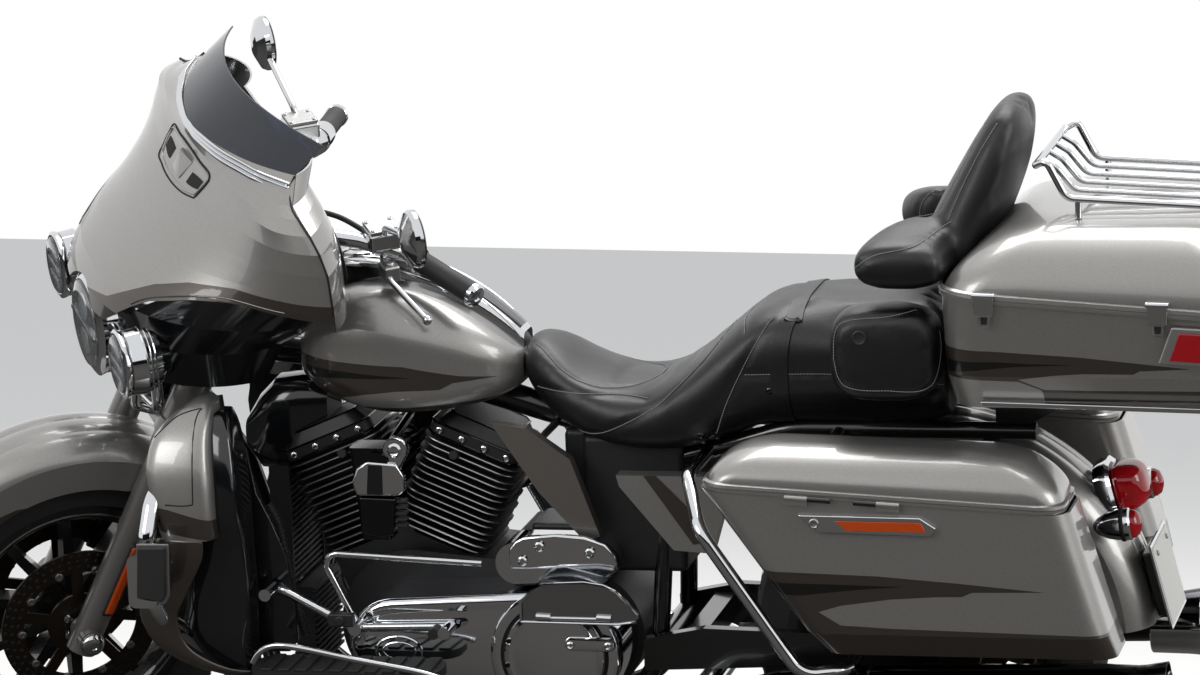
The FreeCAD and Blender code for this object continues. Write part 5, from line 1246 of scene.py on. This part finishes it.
PLATE_WHITE = shaded("blank_plate_enamel", "#d4d3cd", roughness=0.35)[0]
piece("plate_bracket", framed(58, 60, -22, 0), FRAME_BLACK, bevel=3.0)
piece("plate_frame", framed(78, 96, 0, 5), CHROME, bevel=1.5)
piece("plate_blank", framed(71, 89, 4, 6.5), PLATE_WHITE, bevel=0.8)
bolts = [set_on(turned([(6, 5), (9, 5), (10, 3), (10, 0)], (0, 0, 0), (0, 0, 1), 16), foot + plate_up * 55
                + Vector((0, y, 0)), plate_out, plate_up) for y in (-60, 60)]
piece("plate_bolts", join(*bolts), SATIN)
for side, label in SIDES:
    tip = turned([(-92, 48.5), (-90, 51), (-20, 52), (-2, 53.5), (2, 53), (2, 49), (-6, 46), (-60, 44)],
                 (2081, side * 248, 262), (1, 0, 0), 48)
    # the core is a near-black disc set inside the tip: painted shade of the pipe's inside
    core = turned([(-58, 45), (-58, 0)], (2081, side * 248, 262), (1, 0, 0), 32)
    piece("muffler_tip_" + label, tip, CHROME)
    piece("muffler_core_" + label, core, GAP)
print("tail dressed")

# %% [markdown]
# ## Engine
# The black cylinders have bright machined fin edges. Chrome covers are never flat: the chain case is
# crowned towards its edge, and rings, bolts and a hinged plate sit on the clutch lid. A chrome cover
# hides the horn between the cylinders. Behind all that, black boxes close the view through the frame.

# %% Fins and rocker boxes
CRANK_X, CRANK_Z = 675, 335
BANK = 22.5     # degrees that each cylinder leans from upright
FINS, FIN_STEP = 14, 13


def on_bank(bank, u, y, z):
    """A point drawn upright over the crank, leaned to its cylinder."""
    b = math.radians(bank)
    return Vector((CRANK_X + u * math.cos(b) + z * math.sin(b), y, CRANK_Z - u * math.sin(b)
                   + z * math.cos(b)))


edges, joints, bolts = [], [], []
for bank in (-BANK, BANK):
    for i in range(FINS):
        z = 158 + FIN_STEP * (i + 0.6) + 2
        for side in (-1, 1):
            line = [on_bank(bank, u, side * 200, z) for u in range(-92, 93, 8)]
            line = [p for p in line if (p.x - CRANK_X) * bank > 60]
            laid = on_skin("cylinders", line, (0, -side, 0), lift=0.2)
            if len(laid) > 3:
                edges.append(tube(laid, 1.5, 6))
    for z, half, deep in ((348, 88, 92), (369, 88, 92), (392, 63, 71)):     # joints of the rocker boxes
        corners = ((-half + 12, -deep), (half - 12, -deep), (half, -deep + 14), (half, deep - 14),
                   (half - 12, deep), (-half + 12, deep), (-half, deep - 14), (-half, -deep + 14),
                   (-half + 12, -deep))
        joints.append(tube([on_bank(bank, u, y, z) for u, y in corners], 1.8, 6))
    for side in (-1, 1):
        for u in (-66, -22, 22, 66):
            bolts.append(turned([(0, 6), (5, 6), (6, 4), (4, 3), (4, 0)], on_bank(bank, u, side * 92, 358),
                                (0, side, 0), 12))
piece("fin_edges", join(*edges), SATIN)
piece("rocker_joints", join(*joints), DARK_CHROME)
piece("rocker_bolts", join(*bolts), CHROME)
rods = []
for x0, bank, u in ((628, -BANK, -28), (655, -BANK, 8), (695, BANK, -8), (722, BANK, 28)):
    top = on_bank(bank, u, 104, 344)
    foot = Vector((x0, 128, 428))
    rods += [tube([foot, top], 8, 14), tube([foot, foot.lerp(top, 0.2)], 12, 14),
             tube([foot.lerp(top, 0.86), top], 11, 14)]
piece("pushrod_tubes", join(*rods), CHROME)
plugs = [tube([on_bank(b, u, -60, 322), on_bank(b, u * 1.2, -112, 330)], 8, 14)
         for b, u in ((-BANK, 20), (BANK, -20))]
piece("spark_plug_caps", join(*plugs), PAD)
print(len(edges), "fin edges and", len(bolts), "rocker bolts")

# %% Chain case and clutch lid
def long_ring(front, rear, off, y, per=20):
    """Points round two circles (x, z, radius) and the straights between them, drawn in by off."""
    (xa, za, ra), (xb, zb, rb) = front, rear
    lean = math.atan2(zb - za, xb - xa)
    lift = math.acos((ra - rb) / math.hypot(xb - xa, zb - za))
    ring = []
    for x, z, r, start, end in ((xb, zb, rb, lean + lift, lean - lift),
                                (xa, za, ra, lean - lift, lean + lift - 2 * math.pi)):
        turns = [start + (end - start) * k / per for k in range(per + 1)]
        ring += [Vector((x + (r - off) * math.cos(t), y, z + (r - off) * math.sin(t))) for t in turns]
    return ring


def crowned(front, rear, steps):
    """A lid over two circles, through (drawn in by, y) steps."""
    verts, faces = skin([long_ring(front, rear, off, y) for off, y in steps], around=True)
    wide = len(verts) // len(steps)
    return verts, faces + [tuple(range(len(verts) - wide, len(verts)))]


CASE_ENDS = (690, 330, 84), (988, 320, 112)
case = crowned(*CASE_ENDS, ((0, -226), (0.2, -235), (3, -240), (9, -243.5), (16, -245), (24, -242.5),
                            (30, -243.5), (52, -246.5), (74, -247.5)))
piece("chain_case_crown", case, CHROME)
heads = [turned([(0, 7.5), (5, 7.5), (7, 5.5), (7, 0)], p, (0, -1, 0), 16)
         for p in long_ring(*CASE_ENDS, 13, -243)[2::5]]
piece("chain_case_bolts", join(*heads), CHROME)
hub = Vector((988, -251, 320))
piece("clutch_ring",
      turned([(-3, 118.5), (3, 118.5), (8, 115), (10, 108), (9, 99), (5, 97)], hub, (0, -1, 0), 72), CHROME)
piece("clutch_lid", turned([(2, 92), (11, 92.5), (15, 90), (17.5, 82), (15.8, 78), (17.5, 70), (19.5, 40),
                            (20, 0)], hub, (0, -1, 0), 72), CHROME)
# a near-black ring between the clutch ring and the lid: painted shade in the gap
piece("clutch_gap", turned([(4.5, 98), (4.5, 91)], hub, (0, -1, 0), 72), GAP)
lid_bolts = [turned([(15, 5), (18.5, 5), (19.5, 3.5), (19.5, 0)], hub
                    + Vector((86 * math.cos(t), 0, 86 * math.sin(t))), (0, -1, 0), 14)
             for t in (math.radians(a) for a in (-170, -100, -35, 20, 160))]
piece("clutch_lid_bolts", join(*lid_bolts), DARK_CHROME)
FLAP = [(933, 387), (934, 424), (954, 444), (977, 457), (1050, 461), (1085, 456), (1108, 446), (1147, 405),
        (1142, 391), (1110, 386)]
BRUSHED = cast_metal("brushed_chrome", "#9b9c9f", 0.22, depth_mm=0.03)
piece("hinged_flap", outer(FLAP, -262, 12), BRUSHED, bevel=4.0)
piece("flap_edge", tube([(x, -275, z) for x, z in FLAP + FLAP[:1]], 2.4, 8), CHROME)
hinge = [tube([(x, -276, 397), (x + 26, -276, 396)], 7, 14) for x in (962, 1072)]
hinge.append(tube([(985, -274, 394), (1076, -274, 394)], 4, 12))
piece("flap_hinge", join(*hinge), CHROME)
link = crowned((1023, 348, 12), (1091, 347, 12), ((0, -268), (0, -276), (2, -279), (6, -280)))
piece("lid_link", join(link, *[turned([(0, 7), (5, 7), (6, 5), (4, 3), (4, 0)], (x, -279, 347), (0, -1, 0),
                                      16) for x in (1023, 1091)]), CHROME)
piece("case_oval", join(*[tube([(699 + wide * math.cos(t), -247.5, 320 + tall * math.sin(t))
                                for t in np.linspace(0, 2 * math.pi, 33)], r, 8)
                          for wide, tall, r in ((42, 27, 2.6), (30, 16, 1.6))]), CHROME)
START = [(901, 466), (899, 503), (912, 518), (927, 526), (986, 532), (1040, 528), (1077, 515), (1094, 496),
         (1098, 479), (1093, 461), (1074, 452), (1002, 470), (938, 466)]
piece("starter_crown", outer(START, -198, 16), CHROME, bevel=6.0)
piece("starter_ledge", outer([(x, z - 4) for x, z in START], -186, 12), DARK_CHROME, bevel=3.0)
piece("starter_bolts", join(*[turned([(0, 9), (6, 9), (8, 6), (5, 4), (5, 0)], (x, -214, z), (0, -1, 0), 18)
                              for x, z in ((926, 483), (958, 510), (1050, 500))]), CHROME)
print("chain case dressed")

# %% Horn cover
HORN = [(625, 627), (635, 655), (654, 669), (709, 665), (722, 642), (723, 615), (711, 605), (633, 604)]
piece("horn_cap", outer(HORN, -226, 22), CHROME, bevel=6.0)
piece("horn_band", outer([(658, 664), (684, 663), (683, 608), (653, 608)], -246, 4), ABS, bevel=2.0)
piece("horn_shell", outer([(635, 602), (636, 535), (668, 525), (697, 531), (704, 600)], -228, 14),
      DARK_CHROME, bevel=5.0)
piece("horn_ribs", join(*[block((700, -236, z), (721, -216, z + 5)) for z in (546, 557, 568, 579, 590)]),
      CRINKLE, bevel=1.0)
ear = crowned((700, 664, 16), (706, 688, 23), ((0, -222), (0, -236), (2, -239), (8, -240)))
piece("horn_ear", join(ear, turned([(0, 13), (4, 13), (7, 9), (5, 5), (5, 0)], (706, -239, 688), (0, -1, 0),
                                   24)), CHROME)
print("horn cover dressed")

# %% Black boxes and panels behind the engine
INNER = [(393, 763), (424, 736), (438, 690), (452, 610), (476, 560), (500, 500), (514, 420), (516, 340),
         (500, 318), (385, 316), (350, 340), (346, 400), (356, 450), (384, 505), (407, 556), (404, 592),
         (396, 668)]
piece("lower_fairing_inner", mirrored(plate([(x, -262, z) for x, z in INNER], (0, 9, 0))), ABS, bevel=2.0)
cooler = [block((432, -96, z), (466, 96, z + 5)) for z in range(400, 616, 11)]
cooler += [block((430, y, 396), (468, y + 8, 622)) for y in (-104, 96)]
cooler.append(block((440, -96, 398), (460, 96, 618)))
cooler += [block((456, -86, z), (502, 86, z + 5)) for z in range(240, 392, 11)]
cooler.append(block((462, -84, 238), (496, 84, 390)))
piece("oil_cooler", join(*cooler), CRINKLE)
piece("battery_box", join(block((1020, -118, 440), (1204, 118, 690)),
                          block((978, -84, 560), (1024, 84, 694))), MATT_ABS, bevel=12.0)
piece("gearbox_top", join(block((880, -92, 430), (1075, 92, 498)), block((905, -60, 495), (1040, 60, 512))),
      CRINKLE, bevel=8.0)
hose_line = smooth_line([(453, -196, 572), (474, -198, 527), (496, -200, 397), (511, -200, 334)], 10)
piece("hose", tube(hose_line, 8, 12), PAD)
repeated("hose_ribs", [[(p, (0, -1, 0)) for p in hose_line]],
         tube([(0.0, 8.6 * math.cos(t), 8.6 * math.sin(t)) for t in np.linspace(0, 2 * math.pi, 13)], 1.3,
              6, caps=False), 6.0, CRINKLE)
PEG = [(293, 562), (344, 563), (341, 477), (333, 463), (287, 471)]
piece("peg_pads", mirrored(outer(PEG, -467, 9)), PAD, bevel=3.0)
piece("peg_frames", mirrored(outer([(289, 567), (349, 568), (346, 474), (336, 458), (283, 466)], -462, 6)),
      FORK_LEG, bevel=2.0)
rail = smooth_line([(466, -380, 330), (482, -384, 352), (510, -386, 364), (560, -387, 360),
                    (650, -387, 343), (760, -386, 324), (806, -380, 310)], 5)
piece("footboard_rails", mirrored(tube(rail, 6, 12)), CHROME)
pads = [block((x, -376, 313), (x + 22, -276, 319)) for x in range(476, 780, 32)]
piece("footboard_pads", mirrored(join(*pads)), PAD, bevel=2.0)
joint = join(block((584, -300, 376), (630, -280, 400)), tube([(606, -304, 388), (606, -278, 388)], 9, 16))
piece("toe_lever_joint", joint, CRINKLE, bevel=3.0)
tips = [tube([(444, -300, 430), (444, -272, 430)], 10, 16),
        tube([(778, -304, 368), (778, -270, 368)], 10, 16)]
piece("toe_lever_tips", join(*tips), PAD)
STRIPE = [(1150, 640), (1172, 641), (1252, 560), (1262, 520), (1236, 516)]
piece("side_cover_stripes", mirrored(outer(STRIPE, -205.6, 1.2)), FINISH["dark_paint"])
print("engine dressed")

# %% [markdown]
# ## Wheels and fork
# The black cast rims keep a bright machined lip. The brake discs are drilled, and their carriers are
# riveted on. Slanted grooves cut the tyres' tread. All of these repeat round the axle.

# %% Tread, disc holes and rivets
def circle(x, z, r, y, count, start=0.0):
    """Points round a wheel, with the first once more at the end."""
    return [Vector((x + r * math.cos(start + 2 * math.pi * k / count), y, z
                    + r * math.sin(start + 2 * math.pi * k / count))) for k in range(count + 1)]


def round_axle(part, body, x, z, r, y, count, lift=0.3):
    """Points where lines towards the axle meet a tyre, with the outward direction."""
    pairs = []
    for p in circle(x, z, r, y, count):
        inward = Vector((x - p.x, 0, z - p.z)).normalized()
        pairs += on_skin(part, [p], inward, body, lift, both=True)
    return pairs


DRILLED = turned([(0.0, 4.0), (0.35, 3.8), (0.4, 0)], (0, 0, 0), (0, 0, 1), 10)
RIVET = turned([(0, 8), (3, 8), (4.5, 6), (4.5, 3), (3, 2.4), (3, 0)], (0, 0, 0), (0, 0, 1), 14)
GROOVE = plate([(-11, -20, -0.2), (-5, -20, -0.2), (4, -2, 0.1), (14, 20, -0.2), (8, 20, -0.2),
                (-2, -2, 0.1)], (0, 0, 0.5))
for end, x, half in (("front", 0, 26), ("rear", WHEELBASE, 38)):     # name, axle, half the tread
    body = end + "_wheel"
    lines = [round_axle(end + "_tyre", body, x, AXLE_Z, 420, y, 72) for y in (-half, half)]
    # the tread's grooves are thin near-black plates on the tyre: painted shade
    repeated(end + "_tread", lines, GROOVE, 30.0, GAP, body)
    lips, holes, rivets = [], [], []
    for side in (-1, 1):
        lip = on_skin(end + "_rim", circle(x, AXLE_Z, 213 if end == "front" else 200, side * 200, 96),
                      (0, -side, 0), body, 0.4)
        lips.append(tube(lip, 2.2, 8, caps=False))
        if end == "front" or side > 0:
            part = "front_discs" if end == "front" else "rear_rotors"
            for r in (143, 131, 119):     # three rings of holes
                holes.append(on_skin(part, circle(x, AXLE_Z, r, side * 200, 48, r), (0, -side, 0), body,
                                     0.15, both=True))
            for r in (90, 104, 112, 117):     # the innermost ring that the disc has metal at
                seats = on_skin(part, circle(x, AXLE_Z, r, side * 200, 10), (0, -side, 0), body)
                if seats:
                    break
            rivets += [set_on(RIVET, p, (0, side, 0), (1, 0, 0)) for p in seats]
    # the discs' holes are thin near-black discs on the steel: painted shade
    repeated(end + "_disc_holes", holes, DRILLED, 17.0, GAP, body)
    piece(end + "_disc_rivets", join(*rivets), SATIN, body)
    piece(end + "_rim_lips", join(*lips), SATIN, body)
    bolts = []
    for side in (-1, 1):
        ring = on_skin(end + "_rim", circle(x, AXLE_Z, 30, side * 200, 5), (0, -side, 0), body)
        bolts += [set_on(RIVET, p, (0, side, 0), (1, 0, 0)) for p in ring[:5]]
    piece(end + "_hub_bolts", join(*bolts), CHROME, body)
print("wheels dressed")

# %% Fork
LEG = Vector((math.sin(RAKE), 0, math.cos(RAKE)))
LEG_SIDE = Vector((math.cos(RAKE), 0, -math.sin(RAKE)))
foot = Vector((11, 0, AXLE_Z))
for side, label in SIDES:
    for name, (start, end), half, lift, thick, material in (
            ("fork_reflector_", (58, 198), 8.5, 3.0, 2.5, AMBER_LENS),
            ("fork_reflector_base_", (52, 204), 12, 1.2, 1.5, MATT_ABS)):
        low, high = ([foot + LEG * s + LEG_SIDE * w + Vector((0, side * 300, 0))
                      for s in (start, 90, 130, 165, end)] for w in (-half, half))
        piece(name + label, draped("fork", low, high, (0, -side, 0), "steering", lift, 4, 3), material,
              "steering", thick=thick)
    nut = on_skin("fork", [(0, side * 300, 320)], (0, -side, 0), "steering")[0]
    cap = turned([(-4, 21), (4, 22), (10, 20), (14, 14), (15, 7), (12, 6), (12, 0)], nut, (0, side, 0), 32)
    piece("axle_cap_" + label, cap, CHROME, "steering")
    collars = []
    for s, r in ((236, 31.5), (246, 30.5), (256, 29.5)):     # how far up the leg, radius
        c = foot + LEG * s + Vector((0, side * 115, 0))
        collars.append(turned([(-4, r - 2.5), (-2, r), (2, r), (4, r - 2.5)], c, LEG, 32))
    piece("fork_collars_" + label, join(*collars), FORK_LEG, "steering")
    pads = [on_skin("front_calipers", [(x, side * 300, z)], (0, -side, 0), "steering")
            for x, z in ((118, 400), (140, 340), (96, 440))]
    bolts = [set_on(RIVET, p[0], (0, side, 0), (1, 0, 0)) for p in pads if p]
    if bolts:
        piece("caliper_bolts_" + label, join(*bolts), CHROME, "steering")
print("fork dressed")

# %% [markdown]
# ## Bars, mirrors and gauges
# Black rubber grips end in chrome caps. A chrome fluid reservoir with a screwed lid sits beside each
# grip, and the levers end in balls. Round gauges, speakers and a screen face the rider.

# %% Grips, levers and reservoirs
GAUGE_FACE = shaded("gauge_face", "#15171a", roughness=0.3)[0]
for side, label in SIDES:
    a, b = Vector((618, side * 283, 1053)), Vector((680, side * 397, 1027))
    way = (b - a).normalized()
    piece("grip_" + label, tube([a, b], 20, 24), PAD, "steering", bevel=1.0)
    cap = turned([(-3, 20), (-1, 22), (7, 22), (11, 18), (12, 9), (9, 7), (9, 0)], b, way, 32)
    collar = turned([(-10, 19), (-8, 24), (2, 24), (4, 20)], a, way, 32)
    piece("grip_caps_" + label, join(cap, collar), CHROME, "steering")
    ball = turned([(9.5 * -math.cos(t), 9.5 * math.sin(t)) for t in np.linspace(0, math.pi, 11)],
                  (592, side * 400, 994), (0, 1, 0), 20)
    piece("lever_ball_" + label, ball, CHROME, "steering")
    low = [Vector((566, side * 228, 1064)), Vector((588, side * 240, 1062)),
           Vector((604, side * 262, 1058)), Vector((614, side * 278, 1054))]
    piece("switch_housing_" + label, tube(smooth_line(low, 5),
                                          [26, 28, 29, 29, 28, 28, 28, 28, 27, 27, 26, 26, 25, 25, 24, 22],
                                          24), CHROME, "steering")
    cup = block((532, -272, 1076), (594, -214, 1110))
    lid = block((535, -269, 1110), (591, -217, 1116))
    screws = join(*[turned([(0, 4), (2.5, 4), (3.2, 3), (2, 2), (2, 0)], (x, y, 1115.5), (0, 0, 1), 12)
                    for x in (541, 585) for y in (-262, -224)])
    piece("reservoir_" + label, on_side(cup, side), CHROME, "steering", bevel=6.0)
    piece("reservoir_lid_" + label, on_side(lid, side), SATIN, "steering", bevel=1.5)
    piece("reservoir_screws_" + label, on_side(screws, side), CHROME, "steering")
    levers = join(block((548, -300, 1026), (578, -262, 1056)),
                  tube([(563, -282, 1060), (563, -282, 1020)], 9, 16))
    piece("lever_pivot_" + label, on_side(levers, side), SATIN, "steering", bevel=4.0)
    spot = on_skin("mirrors", [(800, side * 442, 1182)], (-1, 0, 0), "steering", both=True)
    if spot:
        glass = turned([(0.5, 47), (2, 46), (2.6, 0)], spot[0][0], (1, 0, 0), 40)
        piece("mirror_glass_" + label, glass, MIRROR_GLASS, "steering")
        piece("mirror_rim_" + label,
              turned([(-3, 51), (2, 51.5), (4, 49), (2, 47)], spot[0][0], (1, 0, 0), 40), ABS, "steering")
    hose_path = smooth_line([(545, side * 214, 1090), (505, side * 170, 1110), (455, side * 120, 1112),
                             (425, side * 80, 1090)], 8)
    piece("control_hose_" + label, tube(hose_path, 5, 12), PAD, "steering")
neck = loft([(376, (-56, 56), 640, 700, 3.2), (400, (-62, 62), 600, 740, 3.2),
             (430, (-70, 70), 600, 770, 3.2), (480, (-64, 64), 600, 775, 3.2),
             (530, (-50, 50), 610, 770, 3.2)], "x")
piece("neck_cover", neck, ABS)
print("bars dressed")

# %% Gauges, console and fuel cap
faces, rims, speakers = [], [], []
# y, z, radius
for y, z, r in ((-64, 1150, 44), (64, 1150, 44), (-158, 1160, 25), (158, 1160, 25), (-128, 1100, 22),
                (128, 1100, 22)):
    hit = on_skin("inner_fairing", [(760, y, z)], (-1, 0, 0), "steering", both=True)
    if hit:
        spot, out = hit[0]
        faces.append(turned([(2, r), (2.4, 0)], spot, (1, 0, 0.25), 36))
        rims.append(turned([(-3, r + 3), (3, r + 4), (7, r + 2), (6, r - 1), (2, r - 1)], spot,
                           (1, 0, 0.25), 36))
piece("gauge_faces", join(*faces), GAUGE_FACE, "steering")
piece("gauge_rims", join(*rims), CHROME, "steering")
for y in (-262, 262):
    hit = on_skin("inner_fairing", [(760, y, 1090)], (-1, 0, 0), "steering", both=True)
    if hit:
        speakers.append(turned([(-2, 62), (4, 64), (6, 60), (3, 56), (6, 40), (8, 18), (8.5, 0)], hit[0][0],
                               (1, 0, 0.15), 40))
if speakers:
    piece("speaker_grilles", join(*speakers), MATT_ABS, "steering")
low = [(760, y, 1042) for y in (-76, -30, 30, 76)]
high = [(760, y, 1104) for y in (-76, -30, 30, 76)]
piece("radio_panel", draped("inner_fairing", low, high, (-1, 0, 0), "steering", 4.0), ABS, "steering",
      thick=4.0)
low, high = ([(x, y, 1050) for x in (640, 700, 780, 860, 892)] for y in (-24, 24))
piece("console_insert", draped("tank_console", low, high, (0, 0, -1), lift=1.6, rows=5), ABS, thick=2.0)
spot = on_skin("tank_console", [(594, 0, 1080)], (0, 0, -1))[0]
piece("fuel_cap", turned([(-2, 34), (1, 36), (6, 35), (9, 28), (10, 12), (10, 0)], spot, (-0.02, 0, 1), 48),
      CHROME)
piece("fuel_cap_ring", turned([(8.4, 22), (10.6, 21), (10.6, 18), (9.4, 17)], spot, (-0.02, 0, 1), 48),
      DARK_CHROME)
rail_lines = [[(x, y, 1050) for x in (566, 600, 660, 720, 780, 840, 896)] for y in (-34, 34)]
piece("console_edges", join(*[bead("tank_console", line, (0, 0, -1), 2.4) for line in rail_lines]), CHROME)
print("gauges and console done")

# %% [markdown]
# ## Lower fairings
# Each is a soft silver glove box with a brown foot. Under it a grey flare sweeps down and back round the
# leg, and the inner side is black.

# %% Lower fairings
# z, front x, rear x, outer y, inner y
LOWER = [(556, 306, 410, -402, -262), (600, 296, 410, -404, -262), (650, 284, 408, -400, -262),
         (690, 282, 404, -392, -258), (730, 292, 400, -376, -254), (762, 316, 398, -352, -252),
         (784, 344, 394, -322, -250), (794, 362, 384, -296, -256)]
piece("lower_shells", mirrored(lofted(LOWER, 3, 4.2, "z")), PAINT["lower"], replaces=("lower_fairings",))
# z, front x, rear x, outer y, inner y
LINING = [(292, 392, 452, -340, -262), (360, 340, 452, -356, -262), (430, 330, 455, -352, -262),
          (520, 340, 452, -350, -262), (600, 396, 450, -372, -262), (680, 392, 444, -362, -260),
          (740, 388, 432, -340, -254), (768, 380, 418, -310, -252)]
piece("lower_linings", mirrored(lofted(LINING, 3, 4.0, "z")), ABS)
WALL = [(296, 560), (288, 660), (300, 726), (344, 782), (398, 790), (408, 700), (412, 600), (400, 560)]
wall = plate([(x, -259, z) for x, z in WALL], (0, 3, 0))
piece("lower_inner_walls", mirrored(wall), ABS)
left_edge = smooth_line([(300, -390, 560), (284, -392, 500), (266, -392, 446), (262, -390, 414),
                         (286, -386, 362), (340, -372, 322), (410, -352, 296)], 6)
right_edge = smooth_line([(392, -402, 556), (388, -400, 520), (352, -398, 450), (336, -394, 410),
                          (352, -386, 356), (412, -366, 316), (462, -344, 306)], 6)
rows = [[a.lerp(b, i / 4) + Vector((0, -9 * math.sin(math.pi * i / 4), 0))
         for a, b in zip(left_edge, right_edge)] for i in range(5)]
piece("lower_flares", mirrored(skin(rows)), FINISH["dark_paint"], thick=4.0, smooth=1)
DOOR = [(300, 734), (322, 756), (344, 772), (380, 780), (374, 763), (377, 640), (370, 622), (326, 622)]
seam_host = bpy.data.objects["lower_shells"]
# the door's seam is a near-black bead: painted shade
piece("glove_door_seam",
      mirrored(bead(seam_host, [(x, -470, z) for x, z in DOOR], (0, 1, 0), 1.3, steps=4)), GAP)
print("lower fairings done")

# %% [markdown]
# ## Size
# The box that the dressed machine fills is printed.

# %% Finish
low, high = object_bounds()
print("visual box", [round(c, 3) for c in (*low, *high)])
